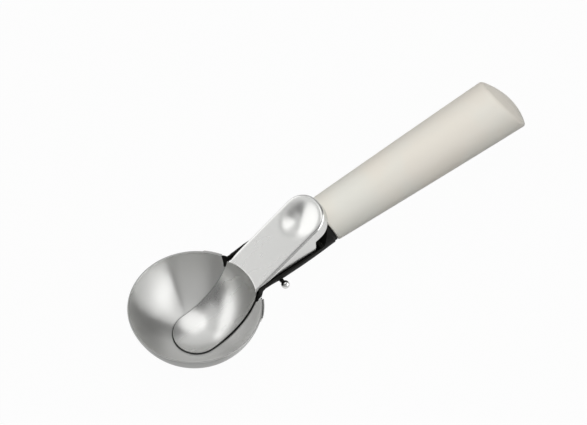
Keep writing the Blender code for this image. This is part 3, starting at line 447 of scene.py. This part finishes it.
def turned_rings(profile, count, place):
    """Rings from a profile of (along, radius) round an axis that place sets."""
    angles = [2 * math.pi * i / count for i in range(count)]
    return [[place @ Vector((along, radius * math.cos(a), radius * math.sin(a))) for a in angles]
            for along, radius in profile]


def arc(centre, radius, start, end, steps):
    """Points along an arc in a plane, with angles in radians."""
    angles = [start + (end - start) * i / steps for i in range(steps + 1)]
    return [(centre[0] + radius * math.cos(a), centre[1] + radius * math.sin(a)) for a in angles]


print("turned pieces stand upright or lie across the scoop")

# %% [markdown]
# A small solid often has its true form already, only with bare edges. It could be drawn again, but its own mesh with
# rounded edges keeps every hole and cut where the model has it.

# %% Helper for small parts
SAME_PLANE = math.radians(1)
SAME_POINT = 1e-6
ROUNDED_FROM = math.radians(40)


def rounded(thing, width, segments, from_angle):
    """Rounds a piece's edges."""
    step = thing.modifiers.new("edges", "BEVEL")
    step.width = width
    step.segments = segments
    step.limit_method = "ANGLE"
    step.angle_limit = from_angle
    return step


def refined(name, node, finish, body, bevel, sharp=30):
    """A piece from a solid's own mesh, with its edges rounded and its curves shaded smooth."""
    bm = bmesh.new()
    bm.from_mesh(nodes[node].data)
    bmesh.ops.translate(bm, verts=bm.verts, vec=-RIM)
    bmesh.ops.remove_doubles(bm, verts=bm.verts, dist=SAME_POINT)
    bmesh.ops.dissolve_limit(bm, angle_limit=SAME_PLANE, verts=bm.verts, edges=bm.edges)
    thing = make(name, bm, finish, node, body, sharp)
    rounded(thing, bevel, 2, ROUNDED_FROM).harden_normals = True
    return thing


print("small parts get their edges rounded from", round(math.degrees(ROUNDED_FROM)), "degrees")

# %% [markdown]
# ## Bowl
#
# The bowl is one pressed cup, part of a ball, with a lip whose two edges are barely rounded. A sphere could be cut in
# two and thickened, but turning one profile gives the wall, the lip and its small rounding at once.

# %% Bowl: the cup
BOWL_COUNT = 176
BOWL_RINGS = 40
LIP_ROUND = 0.00016
LIP_STEPS = 4


def ball_profile(inset, rings, top):
    """(height, radius) up the bowl's ball, moved inwards by an inset."""
    ball = BALL - inset
    last = math.acos((BALL_UP - top) / ball)
    angles = [last * i / rings for i in range(1, rings + 1)]
    return [(BALL_UP - ball * math.cos(a), ball * math.sin(a)) for a in angles]


lip = BOWL_WALL / 2
outer = ball_profile(0, BOWL_RINGS, -lip)
inner = ball_profile(BOWL_WALL, BOWL_RINGS, -lip)
middle = (outer[-1][1] + inner[-1][1]) / 2
half_wall = (outer[-1][1] - inner[-1][1]) / 2 - LIP_ROUND
outer_edge = arc((middle + half_wall, -LIP_ROUND), LIP_ROUND, 0, math.pi / 2, LIP_STEPS)
inner_edge = arc((middle - half_wall, -LIP_ROUND), LIP_ROUND, math.pi / 2, math.pi, LIP_STEPS)
edge = [(z, r) for r, z in outer_edge + inner_edge]
profile = outer + edge + inner[::-1]
bowl_mesh = skin(turned_rings(profile, BOWL_COUNT, UPRIGHT))
bowl = make("bowl_cup", bowl_mesh, bowl_steel, "bowl", "scoop", sharp=40)
print("bowl faces before the gap is cut:", len(bowl.data.polygons))

# %% [markdown]
# The lever passes through a notch in the rim. Its sides lean outwards and its lower corners are round. The notch could
# be left out of the turned rings, but a cut with a prism gives clean edges that don't depend on where the rings lie.

# %% Bowl: the notch
NOTCH_DEPTH = 0.0050
NOTCH_HALF_WIDTH = 0.0143
NOTCH_LOW_HALF_WIDTH = 0.0124
NOTCH_CORNER = 0.0008
NOTCH_CORNER_STEPS = 6
NOTCH_OVER = 0.002
NOTCH_FROM, NOTCH_TO = 0.4, 1.2


def cut_with(thing, bm):
    """Cuts a shape out of a piece for good."""
    bmesh.ops.recalc_face_normals(bm, faces=bm.faces)
    bmesh.ops.triangulate(bm, faces=bm.faces)
    mesh = bpy.data.meshes.new("knife")
    bm.to_mesh(mesh)
    bm.free()
    knife = bpy.data.objects.new("knife", mesh)
    knife.matrix_world = thing.matrix_world.copy()
    bpy.context.scene.collection.objects.link(knife)
    step = thing.modifiers.new("cut", "BOOLEAN")
    step.operation = "DIFFERENCE"
    step.solver = "EXACT"
    step.object = knife
    bpy.context.view_layer.update()
    shaped = bpy.data.meshes.new_from_object(thing.evaluated_get(bpy.context.evaluated_depsgraph_get()))
    thing.modifiers.remove(step)
    thing.data = shaped
    bpy.data.objects.remove(knife)


straight = NOTCH_DEPTH - NOTCH_CORNER
lean = (NOTCH_HALF_WIDTH - NOTCH_LOW_HALF_WIDTH) / straight
corner = arc((NOTCH_LOW_HALF_WIDTH - NOTCH_CORNER, -straight), NOTCH_CORNER, -math.pi / 2, 0, NOTCH_CORNER_STEPS)
side = corner + [(NOTCH_LOW_HALF_WIDTH + lean * (straight + NOTCH_OVER), NOTCH_OVER)]
outline = side + [(-u, v) for u, v in reversed(side)]
bpy.context.view_layer.update()
cut_with(bowl, skin([[Vector((BOWL_RADIUS * far, u, v)) for u, v in outline] for far in (NOTCH_FROM, NOTCH_TO)]))
print("bowl faces with its notch:", len(bowl.data.polygons))

# %% [markdown]
# Under the rim a steel strap, the saddle, carries the bowl, and two countersunk screws go through both, hidden under
# the tongue. The holes in the bowl are cut where the screws of the model are. Screws that only ran through the wall
# would look the same, but then the two meshes would lie inside each other.

# %% Saddle, screws and their holes
SCREW_HEAD_RADIUS = 0.0018
HOLE_GAP = 0.0003
SCREW_SPREAD = 0.0030
SCREW_DROP = 0.0079
HOLE_HALF_LENGTH = 0.003
HOLE_COUNT = 32

for label in ("left", "right"):
    refined(f"screw_{label}", f"bowl_screw_{label}", hardware_steel, "scoop", bevel=0.00012)
refined("saddle_strap", "bowl_saddle", strap_steel, "scoop", bevel=0.0001)

radius = math.sqrt((BALL - BOWL_WALL) ** 2 - (BALL_UP + SCREW_DROP) ** 2)
slope = math.atan2(BALL_UP + SCREW_DROP, radius)
axis = Vector((math.cos(slope), 0, -math.sin(slope)))
up = Vector((math.sin(slope), 0, math.cos(slope)))
hole = SCREW_HEAD_RADIUS + HOLE_GAP
for way in (-1, 1):
    at = Matrix((axis, Vector((0, 1, 0)), up)).transposed().to_4x4()
    at.translation = Vector((math.sqrt(radius ** 2 - SCREW_SPREAD ** 2), way * SCREW_SPREAD, -SCREW_DROP))
    cut_with(bowl, skin(turned_rings([(-HOLE_HALF_LENGTH, hole), (HOLE_HALF_LENGTH, hole)], HOLE_COUNT, at)))
print("bowl faces with its screw holes:", len(bowl.data.polygons))

# %% [markdown]
# ## Lever
#
# One pressing makes the thumb end, the arm with its two folded flanges, and the tongue. It is bent from one sheet, so
# it is drawn as one sheet too: rows of points over its top face, from the thumb's tip to the tongue's tip, which get
# their thickness at the end. Separate plates would show joints that the real one doesn't have. First come its sizes
# and the forms that its rows follow: the tongue lies on a ball inside the bowl's, and the arm is a plane with a dish
# for the thumb.

# %% Lever: the forms it follows
TONGUE_GAP = 0.0004
LEVER_THICK = 0.0008
ARM_SLOPE = math.radians(25.65)
ARM_LENGTH = 0.0339
BEND_HEIGHT = 0.0011
BEND_SOFTNESS = 0.0003
DISH_DEPTH = 0.0017
DISH_HALF_WIDTH = 0.0092
DISH_HALF_LENGTH = 0.0099
DISH_SETBACK = 0.0006

TONGUE_BALL = BALL - BOWL_WALL - TONGUE_GAP - LEVER_THICK
BEND_X = math.sqrt(TONGUE_BALL ** 2 - (BALL_UP - BEND_HEIGHT) ** 2)
ARM_WAY = Vector((math.cos(ARM_SLOPE), 0, math.sin(ARM_SLOPE)))
ARM_UP = Vector((-math.sin(ARM_SLOPE), 0, math.cos(ARM_SLOPE)))


def slice_radius(y):
    """The radius of the tongue's ball where it is cut at y."""
    return math.sqrt(TONGUE_BALL ** 2 - y ** 2)


def on_tongue(angle, y):
    """On the tongue, at an angle round the y axis from the bowl's bottom."""
    return Vector((slice_radius(y) * math.sin(angle), y, BALL_UP - slice_radius(y) * math.cos(angle)))


def corner_angle(y):
    """Where the tongue meets the arm's plane."""
    drop = (BALL_UP - BEND_HEIGHT + math.tan(ARM_SLOPE) * BEND_X) * math.cos(ARM_SLOPE)
    return ARM_SLOPE + math.acos(min(1, drop / slice_radius(y)))


def on_arm(distance, y):
    """On the arm, at a distance from the bend, with the thumb's dish."""
    away = math.hypot((distance - ARM_LENGTH + DISH_SETBACK) / DISH_HALF_LENGTH, y / DISH_HALF_WIDTH)
    depth = DISH_DEPTH * (1 - away ** 2) ** 2 if away < 1 else 0
    return Vector((BEND_X, y, BEND_HEIGHT)) + ARM_WAY * distance - ARM_UP * depth


def arm_start(y):
    """How far along the arm its plane begins, past the bend."""
    return (on_tongue(corner_angle(y), y).x - BEND_X) / math.cos(ARM_SLOPE) + BEND_SOFTNESS


def on_bend(share, y):
    """Between the tongue, at share 0, and the arm, at share 1."""
    a = on_tongue(corner_angle(y) - BEND_SOFTNESS / TONGUE_BALL, y)
    b = on_tongue(corner_angle(y), y)
    c = on_arm(arm_start(y), y)
    return a * (1 - share) ** 2 + b * (2 * share * (1 - share)) + c * share ** 2


print("bend at x", round(BEND_X * 1000, 2), "mm")

# %% [markdown]
# The sheet folds down along both sides and round the thumb's tip. Each row therefore has three parts: over the flat
# plate, round the fold, and down the strip below it. Round the thumb's tip the rows spread like a fan, and the strip
# there is a short skirt.

# %% Lever: the thumb's end
LEVER_HALF_WIDTH = 0.01075
FOLD_RADIUS = 0.0014
THUMB_SKIRT = 0.0065
TIP_SKIRT = 0.0030
THUMB_FULLNESS = 0.05
PLATE_COLUMNS = 20
FOLD_COLUMNS = 8
STRIP_COLUMNS = 5
FAN_ROWS = 22
SIDE = Vector((0, 1, 0))
inwards = -ARM_UP
plate = LEVER_HALF_WIDTH - FOLD_RADIUS
across = [plate * j / PLATE_COLUMNS for j in range(PLATE_COLUMNS + 1)]
lever_rows = []


def folded_row(place_at, outwards, strip_end):
    """A row over the plate, round the fold, and down the skirt or flange."""
    row = [place_at(d) for d in across]
    start = row[-1]
    for k in range(1, FOLD_COLUMNS + 1):
        a = math.pi / 2 * k / FOLD_COLUMNS
        row.append(start + outwards * FOLD_RADIUS * math.sin(a) + inwards * FOLD_RADIUS * (1 - math.cos(a)))
    base = row[-1]
    end = strip_end(base)
    row += [base + (end - base) * k / STRIP_COLUMNS for k in range(1, STRIP_COLUMNS + 1)]
    lever_rows.append(row)


for i in range(FAN_ROWS + 1):
    turn = math.pi / 2 * (1 - i / FAN_ROWS)
    beside, ahead = math.cos(turn), math.sin(turn)
    skirt = TIP_SKIRT + (THUMB_SKIRT - TIP_SKIRT) * (1 - ahead ** 3)
    fuller = 1 + THUMB_FULLNESS * math.sin(2 * turn)
    folded_row(lambda d: on_arm(ARM_LENGTH + d * ahead * fuller, d * beside * fuller),
               SIDE * beside + ARM_WAY * ahead, lambda base: base + inwards * (skirt - FOLD_RADIUS))
print("rows round the thumb's end:", len(lever_rows))

# %% [markdown]
# Past the thumb's end the two strips become flanges, which keep a thin arm stiff. Each starts with an ear that reaches
# down past the skirt and has one round corner, and its lower edge climbs slowly towards the thumb. The ear could be a
# plate of its own, but then it would need a seam. Its rows fan out from the fold instead. The first two stand well
# apart, since rows that nearly meet leave sliver faces that stick out when the sheet gets its thickness.

# %% Lever: the ears and the arm
FLANGE_CLIMB = 0.125
FLANGE_LEAST = 0.0001
EAR_CORNER = 0.0021
EAR_SETBACK = 0.0004
EAR_LEAD = 0.0012
EAR_SPREAD = 0.9
EAR_TOP = 0.0068
EAR_STEPS = 8
ARM_ROWS = 34


def flange_edge(x):
    """The height of the flange's lower edge."""
    return FLANGE_CLIMB * max(0, x - PIVOT.x)


rear = Vector((BEND_X, 0, BEND_HEIGHT)) + ARM_WAY * ARM_LENGTH
ear_x = rear.x + EAR_SETBACK
low = flange_edge(ear_x)
ear = [(ear_x, rear.z - EAR_TOP)]
ear += arc((ear_x - EAR_CORNER, low + EAR_CORNER), EAR_CORNER, 0, -math.pi / 2, EAR_STEPS)
for i, (x, z) in enumerate(ear):
    first = ARM_LENGTH - (EAR_LEAD + EAR_CORNER * EAR_SPREAD * i / (len(ear) - 1) if i else 0)
    folded_row(lambda d: on_arm(first, d), SIDE, lambda base: Vector((x, base.y, z)))
for i in range(1, ARM_ROWS + 1):
    share = i / ARM_ROWS
    folded_row(lambda d: on_arm(first + (arm_start(d) - first) * share, d), SIDE,
               lambda base: Vector((base.x, base.y, min(flange_edge(base.x), base.z - FLANGE_LEAST))))
print("rows to the end of the arm:", len(lever_rows))

# %% [markdown]
# At the bend the folds flatten out, and the sheet goes on as the tongue, which follows the bowl's curve and ends in a
# half circle. The rows of the bend pass from the folded form to the flat one little by little, because a sudden
# change would leave a crease across the edge.

# %% Lever: the bend and the tongue
TONGUE_HALF_WIDTH = 0.01055
TONGUE_TIP_CENTRE = 0.0003
BEND_ROWS = 12
TONGUE_ROWS = 34

extra = TONGUE_HALF_WIDTH - plate
outer_columns = FOLD_COLUMNS + STRIP_COLUMNS
flat = across + [plate + extra * k / outer_columns for k in range(1, outer_columns + 1)]
last_fold = lever_rows[-1]
for i in range(1, BEND_ROWS + 1):
    share = 1 - i / BEND_ROWS
    row = [on_bend(share, y) for y in flat]
    guide = [p + (row[0] - last_fold[0]) for p in last_fold]
    lever_rows.append([p.lerp(q, share ** 2) if n > PLATE_COLUMNS else p
                       for n, (p, q) in enumerate(zip(row, guide))])


def tongue_angle(x, y):
    """The angle on the tongue that lies over a place seen from above."""
    return math.asin(x / slice_radius(y))


for i in range(1, TONGUE_ROWS + 1):
    row = []
    for y in flat:
        start = corner_angle(y) - BEND_SOFTNESS / TONGUE_BALL
        goal = tongue_angle(TONGUE_TIP_CENTRE, y)
        row.append(on_tongue(start + (goal - start) * i / TONGUE_ROWS, y))
    lever_rows.append(row)
for i in range(1, FAN_ROWS + 1):
    turn = math.pi / 2 * i / FAN_ROWS
    spots = [(TONGUE_TIP_CENTRE - d * math.sin(turn), d * math.cos(turn)) for d in flat]
    lever_rows.append([on_tongue(tongue_angle(x, y), y) for x, y in spots])
print("rows to the tongue's tip:", len(lever_rows))

# %% [markdown]
# The rows give one half of the sheet, and the other half is its mirror image. A modifier then gives it its thickness
# on the inside, and another rounds its edges. The option for an even thickness stays off: at the sharp inner corner of
# an ear it throws single points far away.

# %% Lever: the sheet and its thickness
LEVER_EDGE_ROUND = 0.00018
bm = bmesh.new()
for side in (1, -1):
    verts = [[bm.verts.new((p.x, side * p.y, p.z)) for p in row] for row in lever_rows]
    for a, b in zip(verts, verts[1:]):
        for i in range(len(a) - 1):
            corners = (a[i], a[i + 1], b[i + 1], b[i])
            bm.faces.new(corners if side > 0 else corners[::-1])
bmesh.ops.remove_doubles(bm, verts=bm.verts, dist=MERGE_DISTANCE)
bmesh.ops.dissolve_degenerate(bm, edges=bm.edges, dist=MERGE_DISTANCE)
lever = make("lever_pressing", bm, lever_steel, "lever", "lever", sharp=60)
step = lever.modifiers.new("thickness", "SOLIDIFY")
step.thickness = LEVER_THICK
step.offset = -1
step.use_even_offset = False
step.use_quality_normals = True
rounded(lever, LEVER_EDGE_ROUND, segments=3, from_angle=math.radians(50))
print("lever rows", len(lever_rows), "faces on its top", len(lever.data.polygons))

# %% [markdown]
# ## Handle
#
# The grip swells towards its end, where it is cut on a slant and closed with a soft dome. A cylinder could be scaled
# and cut, but rings that lean round the handle's axis give both slanted ends and the swelling between them in one
# skin. Inside are the socket for the neck's spigot, the hole for the rod, and the bore for its nut.

# %% Handle: its form
HANDLE_AXIS_Z = 0.0024
HANDLE_LENGTH = 0.0999
HANDLE_FRONT_RADIUS = 0.0108
HANDLE_END_RADIUS = 0.01345
HANDLE_SWELL = 1.15
HANDLE_FRONT_SLANT = 0.29
HANDLE_END_SLANT = 0.47
HANDLE_END_DOME = 0.0036
END_FLAT_RADIUS = 0.0030
HANDLE_STANDOFF = 0.04085
FRONT_X = BOWL_RADIUS + HANDLE_STANDOFF
GRIP_COUNT = 112


def grip_radius(share):
    """The grip's radius at a share of its length."""
    return HANDLE_FRONT_RADIUS + (HANDLE_END_RADIUS - HANDLE_FRONT_RADIUS) * (1 - (1 - share) ** HANDLE_SWELL)


def end_dome(radius):
    """How far the domed end stands out at a distance from its axis."""
    span = HANDLE_END_RADIUS ** 2 - END_FLAT_RADIUS ** 2
    return min(1, (HANDLE_END_RADIUS ** 2 - radius ** 2) / span) * HANDLE_END_DOME


def leaning_rings(profile):
    """Rings from (along, radius, slant) round the handle's axis."""
    rings = []
    for along, radius, slant in profile:
        ring = []
        for i in range(GRIP_COUNT):
            a = 2 * math.pi * i / GRIP_COUNT
            up = radius * math.sin(a)
            ring.append(Vector((FRONT_X + along - slant * up, radius * math.cos(a), HANDLE_AXIS_Z + up)))
        rings.append(ring)
    return rings


def end_rings(start, end, bands):
    """The profile of the domed end between two radii, both among its points."""
    radii = [start + (end - start) * i / bands for i in range(bands + 1)]
    return [(HANDLE_LENGTH + end_dome(r), r, HANDLE_END_SLANT) for r in radii]


print("the grip's radius halfway is", round(grip_radius(0.5) * 1000, 2), "mm")

# %% [markdown]
# The profile runs over the front edge, along the grip, round the end's edge, over the dome to the bore, and back
# through the inside to where it began. A closed profile makes one solid wall with no caps.

# %% Handle: the grip
SEAT_GAP = 0.0003
END_BORE_RADIUS = 0.0080
END_BORE_DEPTH = 0.0190
SPIGOT_RADIUS = 0.0076
SPIGOT_LENGTH = 0.0150
ROD_BORE_RADIUS = 0.0025 + SEAT_GAP
BANDS = 48
FRONT_ROUND, FRONT_STEPS = 0.0008, 8
END_ROUND, END_STEPS = 0.0020, 10
DOME_BANDS = 8

front_middle = (FRONT_ROUND, HANDLE_FRONT_RADIUS - FRONT_ROUND)
grip = [(a, r, HANDLE_FRONT_SLANT) for a, r in arc(front_middle, FRONT_ROUND, math.pi, math.pi / 2, FRONT_STEPS)]
for i in range(1, BANDS):
    share = i / BANDS
    slant = HANDLE_FRONT_SLANT + (HANDLE_END_SLANT - HANDLE_FRONT_SLANT) * share
    if HANDLE_LENGTH * share < HANDLE_LENGTH - END_ROUND:
        grip.append((HANDLE_LENGTH * share, grip_radius(share), slant))
turn = math.atan(2 * HANDLE_END_DOME / HANDLE_END_RADIUS)
edge_radius = HANDLE_END_RADIUS - END_ROUND * (1 - math.sin(turn))
middle = HANDLE_LENGTH + end_dome(edge_radius) - END_ROUND * math.cos(turn)
grip += [(a, r, HANDLE_END_SLANT)
         for a, r in arc((middle, HANDLE_END_RADIUS - END_ROUND), END_ROUND, math.pi / 2, turn, END_STEPS)[:-1]]
grip += end_rings(edge_radius, END_BORE_RADIUS, DOME_BANDS)
bore_floor = HANDLE_LENGTH - END_BORE_DEPTH
socket_floor, socket = SPIGOT_LENGTH + SEAT_GAP, SPIGOT_RADIUS + SEAT_GAP
grip += [(bore_floor, END_BORE_RADIUS, 0), (bore_floor, ROD_BORE_RADIUS, 0), (socket_floor, ROD_BORE_RADIUS, 0),
         (socket_floor, socket, 0), (0, socket, HANDLE_FRONT_SLANT)]
grip_mesh = skin(leaning_rings(grip), closed=True)
make("handle_grip", grip_mesh, handle_cream, "handle", "scoop", sharp=40)
print("handle rings", len(grip))

# %% [markdown]
# A plug of the same plastic closes the bore. A line drawn on the grip could stand for it, but the plug is a piece of
# its own. It carries on the dome of the handle's end, so only a fine ring shows, and its middle is a small flat.

# %% Handle: its plug
PLUG_LENGTH = 0.0090
PLUG_CHAMFER = 0.0006
PLUG_GAP = 0.00012
PLUG_BANDS = 10
plug_radius = END_BORE_RADIUS - PLUG_GAP
plug = [(HANDLE_LENGTH - PLUG_LENGTH, plug_radius - PLUG_CHAMFER, 0),
        (HANDLE_LENGTH - PLUG_LENGTH + PLUG_CHAMFER, plug_radius, 0)]
plug += end_rings(plug_radius, END_FLAT_RADIUS, PLUG_BANDS)
make("handle_plug", skin(leaning_rings(plug)), handle_cream, "end_plug", "scoop", sharp=40)
print("plug rings", len(plug))

# %% [markdown]
# ## Neck and small parts
#
# The neck is a black trough under the lever, with a well for the spring and a spigot that goes into the handle. Its
# solid already has its true form with all its cuts, so its own mesh is taken and its edges are rounded. The bracket,
# cap, washers, rod, nut and bush are done the same way, each with a rounding that fits its size.

# %% Neck and small parts
SMALLEST_ROUND = 0.00008
refined("neck_trough", "neck", neck_black, "scoop", bevel=0.0002, sharp=28)
refined("bracket_pressing", "hinge_bracket", hardware_steel, "lever", bevel=0.00015)
refined("cap_pressing", "pin_cap", hardware_steel, "scoop", bevel=0.00012)
small_parts = ("tang_rod", "tang_washer", "tang_nut", "pivot_washer_left", "pivot_washer_right")
for node in small_parts:
    refined(f"{node}_smooth", node, hardware_steel, "scoop", SMALLEST_ROUND)
refined("pivot_bush_smooth", "pivot_bush", bush_nylon, "scoop", SMALLEST_ROUND)
print("small parts:", ", ".join(small_parts), "and the bush")

# %% [markdown]
# The lever turns on a steel pin with a ball for a head on one side. The ball and a little of the stem stand out from
# the neck and catch the light. The solid's own mesh would show its flat sides there, so the pin is turned afresh with
# many more rings.

# %% Pivot pin
PIN_RADIUS = 0.0010
PIN_HEAD_RADIUS = 0.0019
PIN_CHAMFER = 0.0002
PIN_HEAD_START = math.pi * 0.985
PIN_HEAD_STEPS = 24
PIN_COUNT = 48
pin_low, pin_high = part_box("pivot_pin")
head = -(pin_low.y + PIN_HEAD_RADIUS)
head_end = math.asin(PIN_RADIUS / PIN_HEAD_RADIUS)
pin_profile = arc((-head, 0), PIN_HEAD_RADIUS, PIN_HEAD_START, head_end, PIN_HEAD_STEPS)
pin_profile += [(pin_high.y - PIN_CHAMFER, PIN_RADIUS), (pin_high.y, PIN_RADIUS - PIN_CHAMFER)]
pin_rings = turned_rings(pin_profile, PIN_COUNT, Matrix.Translation(PIVOT) @ ACROSS)
make("pin_turned", skin(pin_rings), hardware_steel, "pivot_pin", "scoop", sharp=50)
print("pin head at y", round(-head * 1000, 2), "mm")

# %% [markdown]
# ## Return spring
#
# The wire has a leg on the neck's floor, its coil round the bush, and a leg up to the bracket. A curve with a bevel
# could draw it, but a tube of rings keeps the wire round at the two corners. First comes the line of the wire, from the
# places that its legs touch.

# %% Return spring: its line
WIRE_RADIUS = 0.0004
COIL_RADIUS = 0.0025
COIL_PITCH = 0.0013
COIL_TURNS = 4
COIL_POINTS = 32
FLOOR_LEG = 0.0110
ARM_LEG = 0.0088
BRACKET_THICK = 0.0010
NECK_DEPTH = 0.0105
WELL_FLOOR = 0.0017

floor_z = HANDLE_AXIS_Z - NECK_DEPTH + WELL_FLOOR + WIRE_RADIUS + SEAT_GAP
under_plate = LEVER_THICK + SEAT_GAP + BRACKET_THICK + SEAT_GAP + WIRE_RADIUS
line_start = Vector((BEND_X, 0, BEND_HEIGHT)) - ARM_UP * under_plate
tilt = math.acos(min(1, (line_start - PIVOT).dot(ARM_UP) / ARM_LEG))
goal = PIVOT + (ARM_UP * math.cos(tilt) + ARM_WAY * math.sin(tilt)) * ARM_LEG
heading = math.atan2(goal.z - PIVOT.z, goal.x - PIVOT.x)
tangent = heading - math.asin(COIL_RADIUS / ARM_LEG)
sweep = COIL_TURNS * 2 * math.pi + (-math.pi / 2 - (tangent + math.pi / 2)) % (2 * math.pi)
steps = round(COIL_POINTS * sweep / (2 * math.pi))
coil_length = COIL_PITCH * sweep / (2 * math.pi)
wire = [Vector((PIVOT.x + FLOOR_LEG, -coil_length / 2, floor_z))]
for i in range(steps + 1):
    a = -math.pi / 2 - sweep * i / steps
    wire.append(PIVOT + Vector((COIL_RADIUS * math.cos(a), coil_length * (i / steps - 0.5),
                                COIL_RADIUS * math.sin(a))))
wire.append(Vector((goal.x, coil_length / 2, goal.z)))
print("spring turns", round(sweep / (2 * math.pi), 2), "points", len(wire))

# %% [markdown]
# When the lever is pressed the coil winds up and its upper leg follows. Here the wire is one rigid tube of rings round
# its line, with its place baked into its points.

# %% Return spring: its wire
WIRE_COUNT = 12


def tube(points, radius, count):
    """Rings round a line of points, turned as little as possible from one to the next."""
    rings = []
    beside = Vector((0, 1, 0))
    for i, p in enumerate(points):
        way = (points[min(i + 1, len(points) - 1)] - points[max(i - 1, 0)]).normalized()
        beside = (beside - way * beside.dot(way)).normalized()
        other = way.cross(beside)
        angles = [2 * math.pi * k / count for k in range(count)]
        rings.append([p + beside * radius * math.cos(a) + other * radius * math.sin(a) for a in angles])
    return rings


spring = new_piece("spring_wire", skin(tube(wire, WIRE_RADIUS, WIRE_COUNT)), hardware_steel, sharp=50)
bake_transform(spring)
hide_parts("return_spring")
print("spring faces", len(spring.data.polygons))

# %% [markdown]
# ## Floor and light
#
# The scoop stands on a plain white floor. More light on a grey floor would also make it white, but it would wash out
# the scoop too. Instead the floor shows as nearly white to the camera and a little less bright in reflections. What is
# left of its own grey keeps a faint shadow of the scoop, and it throws little light up at the scoop's underside.

# %% Floor
FLOOR_SIZE = 8.0
FLOOR_DROP = 0.0004
FLOOR_TONE = (0.32, 0.32, 0.32, 1)
FLOOR_WHITE = 0.97
FLOOR_WHITE_IN_GLOSS = 0.80
WHITE = (1, 1, 1, 1)

floor_mesh = bpy.data.meshes.new("floor")
bm = bmesh.new()
half = FLOOR_SIZE / 2
bm.faces.new([bm.verts.new((x, y, 0)) for x, y in ((-half, -half), (half, -half), (half, half), (-half, half))])
bm.to_mesh(floor_mesh)
bm.free()
floor = bpy.data.objects.new("floor", floor_mesh)
floor.location = (0, 0, -FLOOR_DROP)
bpy.context.scene.collection.objects.link(floor)

floor_white, tree, shader = new_finish("floor_white", Roughness=0.9, Base_Color=FLOOR_TONE)
glow = add(tree, "ShaderNodeEmission", {"Color": WHITE, "Strength": 1.0})
ray = add(tree, "ShaderNodeLightPath")
in_picture = arithmetic(tree, "MULTIPLY", ray.outputs["Is Camera Ray"], FLOOR_WHITE)
in_gloss = arithmetic(tree, "MULTIPLY", ray.outputs["Is Glossy Ray"], FLOOR_WHITE_IN_GLOSS)
seen = arithmetic(tree, "MAXIMUM", in_picture, in_gloss)
seen = arithmetic(tree, "MAXIMUM", seen, ray.outputs["Is Transmission Ray"])
both = add(tree, "ShaderNodeMixShader", {0: seen, 1: shader.outputs[0], 2: glow.outputs[0]})
tree.links.new(both.outputs[0], tree.nodes["Material Output"].inputs["Surface"])
floor_mesh.materials.append(floor_white)
print("floor", FLOOR_SIZE, "m wide,", FLOOR_DROP * 1000, "mm below the scoop")

# %% [markdown]
# The room round the scoop is white to the camera and dim to everything else. The dim part fills the shadows a little
# and gives the metal something grey to reflect between the lamps. A fully white room would leave the steel without
# its darker tones.

# %% World
ROOM_LIGHT = 0.17
world = bpy.data.worlds.new("studio")
bpy.context.scene.world = world
world.use_nodes = True
tree = world.node_tree
back = tree.nodes["Background"]
feed(tree, back.inputs["Color"], WHITE)
ray = add(tree, "ShaderNodeLightPath")
feed(tree, back.inputs["Strength"], arithmetic(tree, "MAXIMUM", ROOM_LIGHT, ray.outputs["Is Camera Ray"]))
print("world strength", ROOM_LIGHT)

# %% [markdown]
# Polished steel shows its lamps as soft bright shapes, and pale plastic mostly shows how much light falls on it. With
# the same lamps for both, one of the two is always wrong. So six panels show only in reflections, placed where those of
# the steel point, and two lights reach only what scatters light, such as the plastics and the floor. The panel near the
# handle makes the bright wedge in the bowl. All are large and soft. Each is given by its direction from the scoop, the
# angles that it spans and its brightness, where 1 is as bright as white paper.

# %% Lamps
LAMP_DISTANCE = 1.0


def lamp(name, azimuth, height, width, tall, brightness, mirrored=True, scattered=True):
    """An oval panel in a direction from the scoop. Its width and how tall it is are angles in degrees."""
    light = bpy.data.lights.new(name, "AREA")
    light.shape = "ELLIPSE"
    light.size = 2 * LAMP_DISTANCE * math.tan(math.radians(width) / 2)
    light.size_y = 2 * LAMP_DISTANCE * math.tan(math.radians(tall) / 2)
    light.energy = brightness * math.pi * (math.pi / 4 * light.size * light.size_y)
    turn, climb = math.radians(azimuth), math.radians(height)
    way = Vector((math.cos(climb) * math.cos(turn), math.cos(climb) * math.sin(turn), math.sin(climb)))
    side_way = Vector((-math.sin(turn), math.cos(turn), 0))
    place = Matrix((side_way, way.cross(side_way), way)).transposed().to_4x4()
    place.translation = RIM + way * LAMP_DISTANCE
    thing = bpy.data.objects.new(name, light)
    thing.matrix_world = place
    thing.visible_glossy = mirrored
    thing.visible_diffuse = scattered
    bpy.context.scene.collection.objects.link(thing)
    print(name, "size", round(light.size, 2), "x", round(light.size_y, 2), "m,", round(light.energy, 1), "W")


lamp("near_panel", 308, 22, 68, 40, 2.6, scattered=False)
lamp("top_panel", 20, 80, 46, 44, 1.15, scattered=False)
lamp("back_panel", 124, 21, 84, 55, 1.22, scattered=False)
lamp("upper_panel", 131, 64, 56, 30, 0.5, scattered=False)
lamp("side_panel", 58, 38, 60, 46, 0.6, scattered=False)
lamp("camera_panel", 235, 35, 54, 34, 0.45, scattered=False)
lamp("key_light", 290, 60, 56, 56, 2.7, mirrored=False)
lamp("fill_light", 90, 59, 56, 56, 1.5, mirrored=False)

# %% [markdown]
# The view transform is Standard, so a colour comes out as it is written.

# %% Finish
bpy.context.scene.view_settings.view_transform = "Standard"
